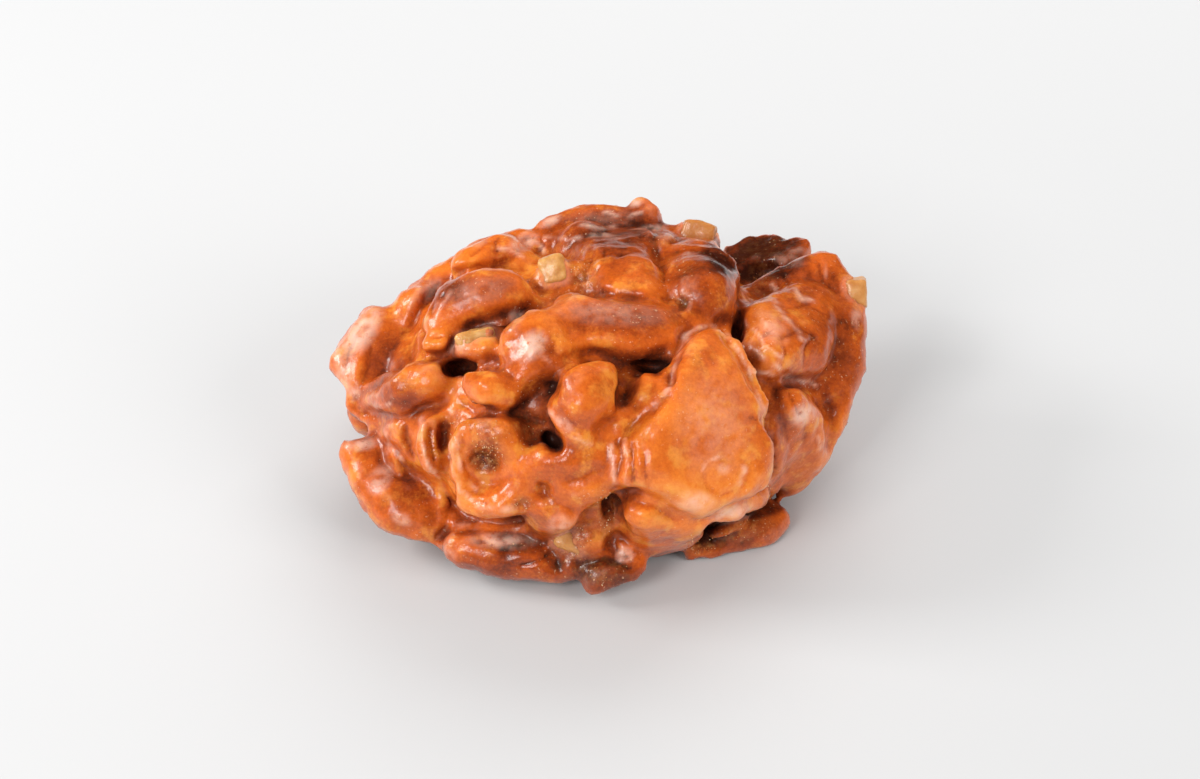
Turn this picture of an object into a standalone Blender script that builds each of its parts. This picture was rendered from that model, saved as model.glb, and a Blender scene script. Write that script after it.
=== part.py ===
"""A glazed apple fritter: fried chunks of dough grown into one craggy mound, with pieces of apple in it.

Metres, +Z up. The origin is on the resting surface, under the middle of the fritter.
Each lump of dough is the hull of a few balls, its knobs. A knob is placed as a person sees it who looks
down on the fritter by SIGHT_DEG: millimetres to the right and up from the middle, the ball's radius, and
how far the ball's centre stands off the heart of the mound, towards the eye. The hidden side follows a rule.
"""

import math
import random

import bmesh
import bpy
from mathutils import Matrix, Vector
from mathutils.bvhtree import BVHTree

MM = 0.001
SEED = 7

SIGHT_DEG = 38.0
SIGHT_CENTRE = Vector((0.2, -6.9, 28.0))
EYE_DISTANCE = 678.0

HEART_CENTRE = Vector((0.2, -3.9, 24.0))
HEART_RADII = Vector((52.0, 43.0, 29.0))
SUNK = 0.8
ROOT_SHARE = 0.45
COVER = Vector((62.0, 44.0))
COVER_UP = -2.0
TUCK_STEP = 0.03
CREASE_TIP = 0.5
CREASE_RIM = 1.3
CREASE_MOUTH = 2.2
CREASE_TOP = 6.0

VOXEL = 1.0
CUT_VOXEL = 0.6
FINE_VOXEL = 0.9
SWELL_SIZE = 13.0
SWELL = 1.4
CRAG_SIZE = 5.0
CRAG = 1.0
MELT_PASSES = 2
MELT = 0.5
FACE_SHARE = 0.067

OUTSIDE = 90.0
APPLE_CORNER = 1.1
APPLE_SKEW = 0.16
APPLE_GAP = 0.3

DOUGH_COLOUR = (0.56, 0.17, 0.035, 1.0)
APPLE_COLOUR = (0.80, 0.50, 0.16, 1.0)


def left_side():
    return {
        "wing": [(-60.8, 6.0, 4.0, 1), (-53.5, 15.3, 5.3, 0), (-50.0, 14.5, 5.3, -1), (-57.5, 1.5, 3.6, 2)],
        "wing_face": [(-55.0, 6.0, 3.6, 1), (-50.0, 12.0, 4.2, 1), (-48.5, 14.5, 4.5, 0)],
        "wing_ear": [(-62.3, 10.8, 1.6, 0), (-60.0, 9.0, 3.0, 0)],
        "skirt": [(-57.5, -3.0, 4.0, 0), (-51.0, -6.5, 4.2, -1)],
        "cushion": [(-54.0, -1.5, 3.8, 4), (-46.0, 1.0, 5.2, 6), (-40.5, 2.0, 4.6, 3), (-48.0, -3.0, 4.0, 5)],
        "shoulder": [(-44.0, 20.5, 4.0, 0), (-38.5, 26.0, 3.8, 0), (-33.5, 28.0, 3.8, -1)],
        "pillow": [(-37.5, 15.5, 5.4, 6), (-33.5, 19.2, 7.2, 6), (-27.5, 21.5, 7.4, 6),
                   (-21.5, 22.0, 6.0, 4)],
        "pillow_lip": [(-40.0, 10.5, 3.0, 7), (-36.5, 11.5, 2.8, 6)],
        "ridge_bed": [(-33.0, 9.8, 2.6, 3), (-26.5, 10.0, 2.6, 3)],
        "web": [(-50.0, -11.5, 4.0, 0), (-45.5, -15.5, 4.2, 0), (-46.5, -8.0, 4.0, 0)],
        "fold": [(-41.3, -8.0, 2.2, 5), (-42.2, -13.0, 2.6, 6), (-40.3, -18.5, 2.6, 6)],
        "foot": [(-58.9, -14.9, 4.2, 1), (-55.5, -21.5, 5.0, 1), (-48.5, -29.0, 5.6, 2),
                 (-50.0, -16.5, 4.5, 1)],
        "foot_heel": [(-49.5, -26.5, 6.0, 2), (-43.0, -30.5, 5.6, 2), (-42.5, -24.0, 5.0, 1)],
    }


def crown():
    return {
        "corner": [(-29.3, 32.8, 3.6, 0), (-24.0, 33.8, 3.6, 1), (-17.5, 34.0, 4.6, 1)],
        "plate": [(-12.0, 38.0, 3.8, 0), (-4.0, 40.3, 3.8, 0), (4.5, 40.7, 3.8, 0), (11.5, 40.0, 3.6, 0)],
        "nub": [(9.8, 43.5, 3.2, 0), (12.5, 41.5, 3.0, 1)],
        "brow": [(-15.0, 32.5, 4.2, 2), (-9.0, 34.5, 4.0, 2)],
        "fore": [(-5.0, 34.5, 4.4, 1), (9.0, 35.0, 4.4, 1), (0.0, 30.0, 4.6, 3), (8.0, 29.0, 5.0, 3)],
        "apple_bed": [(-14.5, 25.5, 3.4, 1), (-5.5, 27.5, 3.5, 2)],
        "low_brow": [(2.5, 27.0, 4.6, 3), (9.5, 26.5, 5.0, 3), (4.0, 22.5, 4.0, 3), (10.5, 21.5, 4.4, 3)],
        "right_shoulder": [(17.0, 36.0, 4.0, 0), (24.0, 36.3, 3.8, 0), (26.5, 34.3, 3.0, 0)],
        "ball": [(19.0, 29.0, 6.0, 2), (25.3, 26.0, 8.4, 4), (24.0, 21.5, 8.0, 4)],
        "back_arch": [(31.5, 32.0, 2.4, -26), (37.5, 33.2, 2.4, -26), (42.0, 33.2, 2.4, -24)],
        "back_crag": [(42.0, 33.2, 2.4, -24), (48.0, 32.4, 2.4, -18)],
        "back_tooth_1": [(35.6, 36.0, 1.4, -26), (35.6, 32.5, 2.4, -26)],
        "back_tooth_2": [(39.6, 36.2, 1.3, -26), (39.4, 33.0, 2.2, -26)],
        "back_tooth_3": [(42.6, 36.0, 1.4, -24), (43.4, 32.5, 2.2, -24)],
        "back_tooth_4": [(47.4, 36.0, 1.3, -22), (46.8, 32.5, 2.2, -22)],
        "back_tooth_5": [(49.6, 34.9, 1.4, -20), (48.6, 31.5, 2.2, -20)],
        "back_wall": [(34.0, 27.0, 5.0, -26), (44.0, 27.5, 5.0, -24), (39.0, 22.0, 7.0, -24)],
    }


def right_side():
    return {
        "lobe_head": [(45.5, 26.0, 4.8, 0), (52.5, 27.5, 6.0, 0), (56.5, 22.0, 6.2, 0)],
        "lobe_cheek": [(38.7, 16.5, 5.0, 3), (40.3, 8.5, 5.2, 5), (48.0, 9.0, 7.0, 6), (49.5, 18.0, 8.0, 4)],
        "lobe_side": [(57.5, 15.0, 7.0, 1), (57.6, 6.0, 6.2, 1), (54.5, -4.0, 5.0, 0), (51.0, 6.0, 6.0, 3)],
        "lobe_tail": [(55.5, -3.0, 5.2, 0), (51.5, -13.5, 4.6, -4)],
        "right_fold": [(44.5, -4.0, 5.0, 1), (49.0, -7.0, 5.0, 0), (49.5, -15.5, 5.5, -5),
                       (45.5, -20.5, 5.3, -9)],
    }


def front():
    return {
        "saddle_left": [(-19.8, 9.5, 4.8, 6), (-14.5, 12.6, 6.3, 7), (-16.5, 5.2, 5.0, 5),
                        (-10.0, 8.0, 5.0, 5)],
        "saddle_neck": [(-14.0, 12.0, 6.0, 5), (-5.0, 17.0, 5.2, 4)],
        "saddle_right": [(-8.0, 17.0, 5.0, 3), (4.0, 17.0, 5.4, 3), (13.0, 16.5, 5.0, 3),
                         (22.0, 16.0, 4.0, 1), (-5.0, 12.0, 4.2, 4), (7.0, 11.4, 3.8, 4),
                         (15.0, 12.2, 3.6, 4)],
        "button": [(-1.2, 1.8, 5.4, 9), (-5.2, -0.6, 6.2, 9), (-4.2, -3.6, 6.0, 9), (-0.2, -2.2, 5.4, 8)],
        "button_lip": [(-11.5, -3.5, 2.4, 6), (-9.5, -7.0, 2.4, 8), (-4.5, -11.0, 2.8, 8)],
        "cheek": [(-30.0, 1.2, 3.6, 7), (-26.0, -0.5, 4.2, 8)],
        "cheek_side": [(-22.5, -1.0, 3.4, 6), (-20.0, 0.6, 3.0, 5)],
        "post": [(10.0, -1.5, 3.0, 6), (14.0, -1.5, 3.0, 6), (10.5, 0.8, 2.4, 6), (13.8, 0.8, 2.4, 6)],
        "flap": [(22.8, 10.0, 3.4, 8), (26.6, 11.6, 3.6, 8), (31.2, 8.8, 3.8, 8), (20.6, 3.2, 4.6, 8),
                 (33.4, 1.5, 5.0, 8), (15.5, -7.0, 5.5, 7), (36.0, -7.0, 5.5, 7), (11.5, -18.0, 6.0, 7),
                 (35.0, -19.0, 6.0, 7), (24.0, -24.0, 6.5, 8)],
        "flap_bump": [(30.0, -20.0, 4.6, 9), (33.5, -20.5, 4.3, 8)],
        "flap_lip": [(26.0, -29.0, 2.8, 8), (37.5, -25.5, 3.2, 8), (31.0, -27.0, 4.0, 7)],
        "chin": [(10.5, -29.0, 5.0, 6), (11.5, -35.5, 4.5, 7), (20.5, -30.5, 4.6, 6), (20.5, -34.0, 3.4, 7)],
        "ridge": [(6.3, -11.0, 2.3, 7), (6.6, -21.0, 2.6, 8)],
        "middle": [(-15.0, -17.5, 3.8, 3), (-8.5, -17.0, 5.4, 3), (-0.5, -15.5, 4.5, 3), (0.5, -8.0, 4.5, 3)],
        "middle_right": [(2.5, -6.0, 4.0, 3), (7.5, -9.0, 4.0, 4), (4.5, -20.0, 4.5, 4)],
        "middle_low": [(-8.0, -22.5, 4.0, 3), (-0.5, -22.0, 4.0, 3), (-6.5, -27.0, 3.0, 3)],
        "mess": [(-13.0, -27.5, 3.6, 4), (-14.0, -33.0, 3.6, 5), (-8.5, -30.0, 3.6, 5)],
        "apple_apron": [(-6.0, -40.5, 3.0, 7), (-1.5, -35.5, 3.2, 6), (-6.5, -35.5, 4.0, 3)],
        "front_foot": [(-33.0, -37.5, 4.6, 6), (-25.0, -39.8, 5.2, 6), (-15.0, -40.8, 5.2, 6),
                       (-8.0, -41.5, 4.8, 6)],
        "front_tip": [(0.5, -43.8, 4.4, 8), (8.0, -41.8, 3.4, 8), (-1.0, -45.6, 3.2, 8),
                      (3.0, -38.5, 3.8, 7)],
        "curl_heart": [(-29.5, -10.5, 4.0, 5), (-24.5, -10.3, 4.4, 6), (-22.5, -13.5, 3.6, 5)],
        "curl_floor": [(-27.5, -17.5, 4.0, 0), (-24.0, -20.0, 3.4, 0)],
        "curl_arm": [(-19.5, -24.0, 3.8, 4), (-20.5, -17.5, 2.8, 3), (-15.5, -16.5, 3.4, 3)],
        "small_roll": [(-22.0, -27.5, 3.2, 5), (-16.5, -26.5, 2.8, 5)],
        "hollow_floor": [(-40.0, -30.0, 4.0, 0), (-37.0, -34.5, 4.0, 3)],
    }


def low_loop():
    """The thin loop of dough that lies on the table at the front right, under the flap."""
    return {
        "loop": [(31.5, -36.6, 3.0, -20), (38.0, -34.4, 3.6, -20), (43.2, -31.2, 3.2, -20),
                 (41.0, -28.7, 3.0, -20)],
        "loop_crust": [(24.5, -36.8, 2.8, -20), (22.0, -38.7, 2.2, -20), (28.0, -38.2, 2.4, -20)],
    }


def curl():
    """The C-shaped roll of dough on the front left, as short lengths along an arc."""
    middle_right, middle_up, radius_right, radius_up = -26.3, -18.3, 8.5, 9.6
    start_deg, end_deg, lengths = 142, 292, 6
    start_radius, end_radius, lift = 2.8, 3.7, 8.0
    knobs = []
    for i in range(lengths + 1):
        share = i / lengths
        turn = math.radians(start_deg + (end_deg - start_deg) * share)
        right = middle_right + radius_right * math.cos(turn)
        up = middle_up + radius_up * math.sin(turn)
        knobs.append((right, up, start_radius + (end_radius - start_radius) * share, lift))
    return {f"curl_{i}": [knobs[i], knobs[i + 1]] for i in range(lengths)}


def pits():
    """The dark gaps between lumps: right, up, half width, half height, turn in degrees, depth under skin."""
    return {
        "gap_left": (-33.5, 5.2, 4.8, 2.6, 8, 11),
        "gap_middle": (11.5, 5.6, 5.8, 2.1, -4, 7),
        "gap_hole": (-11.5, -12.2, 3.8, 2.1, -40, 11),
        "gap_small": (-16.5, -2.2, 1.9, 1.2, -10, 3.5),
        "gap_back": (37.6, 28.4, 6.2, 4.4, 15, 6),
        "gap_valley": (33.0, 15.0, 2.0, 7.5, -6, 7),
        "gap_low": (3.0, -29.5, 2.6, 5.0, 8, 6),
        "gap_lip": (27.5, -35.2, 3.6, 1.6, 10, 4),
        "gap_fold": (-37.8, -12.0, 1.4, 5.0, 0, 4),
        "gap_curl": (-19.6, -31.2, 2.2, 1.5, 0, 6),
        "gap_post": (6.6, 1.0, 1.2, 3.0, -15, 3.5),
        "curl_pit": (-27.6, -17.2, 4.4, 3.6, 0, 1.2),
    }


def creases():
    """Where two lumps meet in a valley: its depth under the skin, and the places it runs through."""
    return {
        "flap_top": (3.9, [(22.5, 15.5), (19.5, 13.0), (17.5, 6.0), (16.5, -1.0)]),
        "flap_left": (1.6, [(16.5, -1.0), (12.0, -5.0), (8.0, -8.0), (4.5, -13.0)]),
        "flap_right": (2.8, [(29.5, 13.5), (34.0, 8.0), (36.5, 2.0), (39.8, -3.0), (41.5, -15.0),
                             (41.5, -22.0)]),
        "wing": (2.2, [(-59.0, -2.5), (-55.0, 0.5), (-50.0, 4.5), (-45.5, 7.5), (-45.5, 12.0)]),
        "cushion": (2.0, [(-59.0, -5.0), (-54.0, -6.5), (-47.0, -7.0), (-42.0, -4.5), (-36.5, -3.0)]),
        "pillow_top": (1.6, [(-45.5, 14.5), (-43.0, 19.0), (-38.5, 25.5), (-32.0, 28.8), (-24.0, 29.5),
                             (-17.0, 28.0)]),
        "pillow_low": (1.8, [(-42.0, 8.0), (-36.5, 8.0), (-34.0, 13.5), (-28.5, 15.5), (-22.0, 14.5),
                             (-17.0, 19.0)]),
        "saddle_top": (0.4, [(-17.0, 19.0), (-10.0, 22.0), (-4.0, 23.5), (3.0, 23.0), (11.0, 22.0),
                             (17.0, 20.5)]),
        "ball": (2.0, [(15.5, 31.5), (15.5, 26.5), (16.5, 20.5), (21.0, 16.0)]),
        "ball_top": (1.6, [(14.0, 32.5), (20.0, 34.3), (27.0, 33.5), (33.0, 29.0)]),
        "lobe": (1.8, [(34.5, 7.5), (38.0, 2.8), (44.0, 2.2), (50.0, 1.0), (54.0, -1.5)]),
        "lobe_side": (1.7, [(54.0, -1.5), (55.5, -8.0), (55.0, -14.0)]),
        "button": (0.8, [(-12.5, -2.0), (-11.0, 3.5), (-8.0, 6.5)]),
        "button_top": (3.0, [(-8.0, 6.5), (-4.0, 8.4), (1.0, 8.4), (5.4, 6.0), (6.4, 0.5), (5.2, -4.0)]),
        "cheek": (1.8, [(-33.0, -3.5), (-29.0, -5.3), (-24.0, -5.5), (-19.0, -6.0), (-13.5, -7.5)]),
        "curl_out": (2.2, [(-36.5, -8.0), (-37.8, -14.0), (-37.5, -20.5), (-34.5, -28.5), (-28.0, -32.2),
                           (-20.0, -32.0)]),
        "curl_in": (1.2, [(-33.0, -10.0), (-33.2, -16.0), (-30.5, -21.5), (-25.5, -22.3), (-21.5, -20.5)]),
        "foot": (2.0, [(-60.0, -10.8), (-54.5, -10.8), (-49.0, -14.5), (-45.5, -20.5)]),
        "foot_end": (2.0, [(-38.5, -22.0), (-36.0, -27.0), (-36.5, -33.0), (-40.0, -37.0)]),
        "front_foot": (1.4, [(-35.0, -33.5), (-27.0, -33.8), (-19.0, -34.3), (-12.0, -37.5), (-9.5, -43.5)]),
        "chin": (1.4, [(3.0, -24.0), (3.8, -33.0), (4.2, -38.5)]),
        "corner": (1.6, [(-25.0, 30.0), (-20.5, 31.5), (-16.5, 36.0)]),
        "nub": (1.8, [(15.8, 43.5), (14.8, 39.5), (13.0, 36.0), (14.0, 32.0)]),
    }


def apple_pieces():
    """The pieces of apple: right, up, how far they stand out, width, height, depth, turn in degrees."""
    return {
        "apple_crown": (-11.3, 28.6, 1.6, 6.8, 6.8, 7.0, 12),
        "apple_peak": (23.3, 37.2, 1.6, 8.5, 6.6, 7.0, -12),
        "apple_ridge": (-30.0, 12.0, 1.4, 9.0, 4.4, 6.5, 14),
        "apple_right": (61.2, 22.8, 1.8, 5.4, 8.0, 7.0, 8),
        "apple_low": (-7.0, -35.3, 0.5, 8.0, 6.4, 6.5, -20),
    }


def hidden_apple_pieces():
    """The pieces of apple on the hidden side: azimuth and height in degrees, then as for the others."""
    return {
        "apple_back_left": (128, 14, 1.5, 7.5, 6.0, 7.0, 25),
        "apple_back": (84, 32, 1.3, 8.0, 5.5, 7.0, -15),
        "apple_back_right": (48, -2, 1.6, 6.5, 6.5, 7.0, 40),
    }


def hidden_side(rng):
    """The lumps that the front view doesn't show, as (world centre, radius) knobs: rings round the back."""
    rings = (
        # height, first and last azimuth, how many, radius, share of the heart's radius
        (-4, 15, 165, 8, 8.0, 1.06),
        (20, 22, 158, 7, 8.0, 1.06),
        (42, 40, 140, 5, 7.5, 1.02),
        (-32, 10, 340, 12, 7.0, 0.86),
    )
    for height, first, last, count, radius, share in rings:
        for i in range(count):
            azimuth = first + (last - first) * i / (count - 1) + rng.uniform(-6, 6)
            middle = heart_spot(azimuth, height + rng.uniform(-6, 6), share)
            knobs = []
            for _ in range(3):
                way = Vector([rng.uniform(-1, 1) for _ in range(3)]).normalized()
                size = radius * rng.uniform(0.5, 0.95)
                knobs.append((tucked(middle + way * radius, size), size))
            yield knobs


def heart_spot(azimuth_deg, height_deg, share):
    """A point on the heart's surface in millimetres: azimuth 0 is +X and 90 is the back."""
    azimuth, height = math.radians(azimuth_deg), math.radians(height_deg)
    level = math.cos(height)
    way = Vector((level * math.cos(azimuth), level * math.sin(azimuth), math.sin(height)))
    return HEART_CENTRE + share * HEART_RADII * way


def tucked(centre, radius):
    """Moves a ball of the hidden side towards the heart's middle until the front view doesn't show it."""
    right, up, near = sight_axes()
    room = COVER - Vector((radius, radius))
    while True:
        away = centre - SIGHT_CENTRE
        reach = Vector((away.dot(right) / room.x, (away.dot(up) - COVER_UP) / room.y))
        if reach.length < 1:
            return centre
        centre = centre.lerp(HEART_CENTRE, TUCK_STEP)


def sight_axes():
    """Right, up and near as seen from the front, as world directions."""
    tilt = math.radians(SIGHT_DEG)
    right = Vector((1, 0, 0))
    up = Vector((0, math.sin(tilt), math.cos(tilt)))
    near = Vector((0, -math.cos(tilt), math.sin(tilt)))
    return right, up, near


def heart_face(right_mm, up_mm):
    """How near the heart's face is along the line of sight, or its rim where the line misses it."""
    right, up, near = sight_axes()
    shrink = Matrix.Diagonal([1 / r for r in HEART_RADII])
    start = shrink @ (SIGHT_CENTRE + right * right_mm + up * up_mm - HEART_CENTRE)
    way = shrink @ near
    half_b, a, c = start.dot(way), way.dot(way), start.dot(start) - 1
    return (-half_b + math.sqrt(max(0.0, half_b * half_b - a * c))) / a


def spot(right_mm, up_mm, depth):
    """The world point that is seen there, this near."""
    right, up, near = sight_axes()
    closer = 1 - depth / EYE_DISTANCE
    return SIGHT_CENTRE + (right * right_mm + up * up_mm) * closer + near * depth


def knob_place(right_mm, up_mm, radius, lift):
    """A knob's world centre. One that would sink into the table is brought nearer until it stands on it."""
    right, up, near = sight_axes()
    on_table = (SUNK * radius - SIGHT_CENTRE.z - up_mm * up.z) / near.z
    return spot(right_mm, up_mm, max(heart_face(right_mm, up_mm) + lift, on_table))


def eye():
    return SIGHT_CENTRE + sight_axes()[2] * EYE_DISTANCE


def ball_points(subdivisions):
    """The points of a unit ball."""
    bm = bmesh.new()
    ball = bmesh.ops.create_icosphere(bm, subdivisions=subdivisions, radius=1.0)["verts"]
    points = [v.co.copy() for v in ball]
    bm.free()
    return points


def lump(bm, knobs, unit_ball):
    """Adds the hull of some balls, given as (world centre, radius) in millimetres."""
    verts = [bm.verts.new((centre + p * radius) * MM) for centre, radius in knobs for p in unit_ball]
    hull = bmesh.ops.convex_hull(bm, input=verts)
    inside = {v for v in hull["geom_interior"] + hull["geom_unused"] if isinstance(v, bmesh.types.BMVert)}
    bmesh.ops.delete(bm, geom=list(inside), context="VERTS")


def with_root(knobs):
    """The knobs and one more, further in, so that the lump stands on the heart and doesn't float."""
    middle = sum((centre for centre, radius in knobs), Vector()) / len(knobs)
    stoutest = max(radius for centre, radius in knobs)
    return knobs + [(middle.lerp(HEART_CENTRE, 1 - ROOT_SHARE), stoutest / 2)]


def skin_face(skin, right_mm, up_mm):
    """How near the grown skin is along the line of sight, or the heart's face where it misses the skin."""
    start, end = spot(right_mm, up_mm, OUTSIDE), spot(right_mm, up_mm, -OUTSIDE)
    touch = skin.ray_cast(start * MM, end - start)[0]
    if touch is None:
        return heart_face(right_mm, up_mm)
    return (touch / MM - SIGHT_CENTRE).dot(sight_axes()[2])


def crease(bm, skin, depth, places, unit_ball):
    """Adds the knife that cuts one valley, as upright lengths along the line of sight, wider at the top."""
    blade = []
    for right_mm, up_mm in places:
        face = skin_face(skin, right_mm, up_mm)
        levels = ((face - depth, CREASE_TIP), (face, CREASE_RIM), (face + CREASE_TOP, CREASE_MOUTH))
        blade.append([(spot(right_mm, up_mm, level), radius) for level, radius in levels])
    for start, end in zip(blade, blade[1:]):
        lump(bm, start + end, unit_ball)


def heart(bm):
    """The dough inside, which the gaps between the lumps bottom out on."""
    ball = bmesh.ops.create_icosphere(bm, subdivisions=5, radius=1.0)["verts"]
    for v in ball:
        v.co = (HEART_CENTRE + HEART_RADII * v.co) * MM


def pit(bm, skin, right_mm, up_mm, half_width, half_height, turn_deg, depth):
    """Adds one pit: an egg along the line of sight, half sunk in the skin."""
    right, up, near = sight_axes()
    middle = spot(right_mm, up_mm, skin_face(skin, right_mm, up_mm))
    turn = math.radians(turn_deg)
    along = right * math.cos(turn) + up * math.sin(turn)
    across = up * math.cos(turn) - right * math.sin(turn)
    for v in bmesh.ops.create_icosphere(bm, subdivisions=3, radius=1.0)["verts"]:
        x, y, z = v.co
        v.co = (middle + along * half_width * x + across * half_height * y + near * depth * z) * MM


def apple_corners(rng, middle, out, turn_deg, sides):
    """The corners of a hand-cut cube of apple that faces out, a little askew."""
    side = Vector((0, 0, 1)).cross(out).normalized()
    turned = Matrix.Rotation(math.radians(turn_deg), 3, out) @ side
    axes = (turned, out.cross(turned).normalized(), out)
    corners = []
    for signs in ((x, y, z) for x in (-1, 1) for y in (-1, 1) for z in (-1, 1)):
        reach = [s * (size / 2 - APPLE_CORNER) * (1 + rng.uniform(-APPLE_SKEW, APPLE_SKEW)) for s, size in
                 zip(signs, sides)]
        corners.append(middle + sum((axis * r for axis, r in zip(axes, reach)), Vector()))
    return corners


def material(name, colour, roughness):
    m = bpy.data.materials.new(name)
    m.use_nodes = True
    shader = m.node_tree.nodes["Principled BSDF"]
    shader.inputs["Base Color"].default_value = colour
    shader.inputs["Roughness"].default_value = roughness
    m.diffuse_color = colour
    return m


def mesh_object(name, bm, finish=None):
    mesh = bpy.data.meshes.new(name)
    bm.to_mesh(mesh)
    bm.free()
    mesh.shade_smooth()
    obj = bpy.data.objects.new(name, mesh)
    bpy.context.scene.collection.objects.link(obj)
    if finish:
        mesh.materials.append(finish)
    return obj


def cutter(name, bm):
    obj = mesh_object(name, bm)
    obj.hide_render = True
    obj.display_type = "WIRE"
    return obj


def gap_cutter(body):
    """The pits and the valleys in the body's skin, as one skin."""
    skin = BVHTree.FromObject(body, bpy.context.evaluated_depsgraph_get())
    bm = bmesh.new()
    for values in pits().values():
        pit(bm, skin, *values)
    small_ball = ball_points(1)
    for depth, places in creases().values():
        crease(bm, skin, depth, places, small_ball)
    obj = cutter("gap_cutter", bm)
    remesh(obj, "one_skin", CUT_VOXEL)
    return obj


def floor_cutter():
    """What lies under the resting surface, taken off so that the fritter stands on flat spots."""
    bm = bmesh.new()
    bmesh.ops.create_cube(bm, size=200 * MM)
    bmesh.ops.translate(bm, verts=bm.verts, vec=(0, 0, -100 * MM))
    return cutter("floor_cutter", bm)


def apples(body):
    """The pieces of apple, set into the body's skin, and one cutter that holds the pockets they sit in."""
    rng = random.Random(SEED)
    skin = BVHTree.FromObject(body, bpy.context.evaluated_depsgraph_get())
    finish = material("apple", APPLE_COLOUR, 0.35)
    corner_ball = ball_points(1)
    views = {}
    for name, values in apple_pieces().items():
        start = spot(values[0], values[1], OUTSIDE)
        views[name] = (start, (eye() - start).normalized(), values[2:])
    for name, values in hidden_apple_pieces().items():
        start = heart_spot(values[0], values[1], 3)
        views[name] = (start, (start - HEART_CENTRE).normalized(), values[2:])
    pockets = bmesh.new()
    for name, (start, out, (stand_out, width, height, depth, turn)) in views.items():
        touch = skin.ray_cast(start * MM, -out)[0] / MM
        middle = touch + out * (stand_out - depth / 2)
        corners = apple_corners(rng, middle, out, turn, (width, height, depth))
        piece = bmesh.new()
        lump(piece, [(corner, APPLE_CORNER) for corner in corners], corner_ball)
        mesh_object(name, piece, finish)
        lump(pockets, [(corner, APPLE_CORNER + APPLE_GAP) for corner in corners], corner_ball)
    return cutter("pocket_cutter", pockets)


def remesh(obj, name, voxel):
    grow = obj.modifiers.new(name, "REMESH")
    grow.mode = "VOXEL"
    grow.voxel_size = voxel * MM
    grow.use_smooth_shade = True


def unevenness(obj, name, size, depth):
    texture = bpy.data.textures.new(name, "CLOUDS")
    texture.noise_scale = size * MM
    texture.noise_depth = 1
    push = obj.modifiers.new(name, "DISPLACE")
    push.texture = texture
    push.texture_coords = "LOCAL"
    push.mid_level = 0.5
    push.strength = depth * MM


def cut(obj, name, tool, solver="EXACT"):
    boolean = obj.modifiers.new(name, "BOOLEAN")
    boolean.object = tool
    boolean.solver = solver


def keep_outer_skin(obj):
    """Turns the modifiers so far into the mesh, and drops the hollows that lumps have closed off inside."""
    graph = bpy.context.evaluated_depsgraph_get()
    grown = bpy.data.meshes.new_from_object(obj.evaluated_get(graph))
    obj.modifiers.clear()
    bm = bmesh.new()
    bm.from_mesh(grown)
    skins = []
    left = set(bm.verts)
    while left:
        reached = [left.pop()]
        for v in reached:
            for edge in v.link_edges:
                other = edge.other_vert(v)
                if other in left:
                    left.remove(other)
                    reached.append(other)
        skins.append(reached)
    skins.sort(key=len)
    inner = [v for skin in skins[:-1] for v in skin]
    bmesh.ops.delete(bm, geom=inner, context="VERTS")
    bm.to_mesh(grown)
    bm.free()
    obj.data = grown


def dough():
    bm = bmesh.new()
    heart(bm)
    unit_ball = ball_points(3)
    for lumps, rooted in ((left_side(), True), (crown(), True), (right_side(), True), (front(), True),
                          (curl(), False), (low_loop(), False)):
        for knobs in lumps.values():
            placed = [(knob_place(*knob), knob[2]) for knob in knobs]
            lump(bm, with_root(placed) if rooted else placed, unit_ball)
    for knobs in hidden_side(random.Random(SEED)):
        lump(bm, knobs, unit_ball)
    obj = mesh_object("dough", bm, material("fried_dough", DOUGH_COLOUR, 0.3))
    remesh(obj, "grow_together", VOXEL)
    cut(obj, "gaps", gap_cutter(obj), "MANIFOLD")
    unevenness(obj, "swell", SWELL_SIZE, SWELL)
    unevenness(obj, "crags", CRAG_SIZE, CRAG)
    remesh(obj, "heal", FINE_VOXEL)
    keep_outer_skin(obj)
    melt = obj.modifiers.new("melt", "SMOOTH")
    melt.factor = MELT
    melt.iterations = MELT_PASSES
    fewer = obj.modifiers.new("fewer_faces", "DECIMATE")
    fewer.ratio = FACE_SHARE
    return obj


def main():
    for obj in list(bpy.data.objects):
        bpy.data.objects.remove(obj)
    body = dough()
    cut(body, "flat_spots", floor_cutter())
    cut(body, "pockets", apples(body))


main()
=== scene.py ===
"""The looks of a glazed apple fritter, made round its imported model.

Places on the front are given as a person sees them who looks down on the fritter: millimetres to the right
and up from the middle of the view. Sizes are in millimetres, and the scene is in metres. Each draw of noise
has a seed of its own, counted on from SEED.
"""

import itertools
import math

import bmesh
import bpy
import numpy as np
from mathutils import Matrix, Quaternion, Vector
from mathutils.bvhtree import BVHTree


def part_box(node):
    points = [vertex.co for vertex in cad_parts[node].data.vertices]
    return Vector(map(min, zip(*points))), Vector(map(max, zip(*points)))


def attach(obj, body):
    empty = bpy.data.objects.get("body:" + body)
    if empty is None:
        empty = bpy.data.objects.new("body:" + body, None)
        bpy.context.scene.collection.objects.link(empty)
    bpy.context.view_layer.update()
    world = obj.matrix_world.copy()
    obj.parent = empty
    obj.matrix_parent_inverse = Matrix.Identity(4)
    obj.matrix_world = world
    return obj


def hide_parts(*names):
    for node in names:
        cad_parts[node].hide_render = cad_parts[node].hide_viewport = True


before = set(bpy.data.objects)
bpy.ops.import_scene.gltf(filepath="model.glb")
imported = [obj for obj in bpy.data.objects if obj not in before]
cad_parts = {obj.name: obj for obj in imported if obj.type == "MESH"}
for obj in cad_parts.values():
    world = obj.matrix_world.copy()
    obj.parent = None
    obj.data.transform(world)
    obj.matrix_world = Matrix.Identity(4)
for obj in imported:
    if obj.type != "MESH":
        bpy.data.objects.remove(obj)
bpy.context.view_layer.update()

MM = 0.001
SEED = 11

# The view

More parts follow.
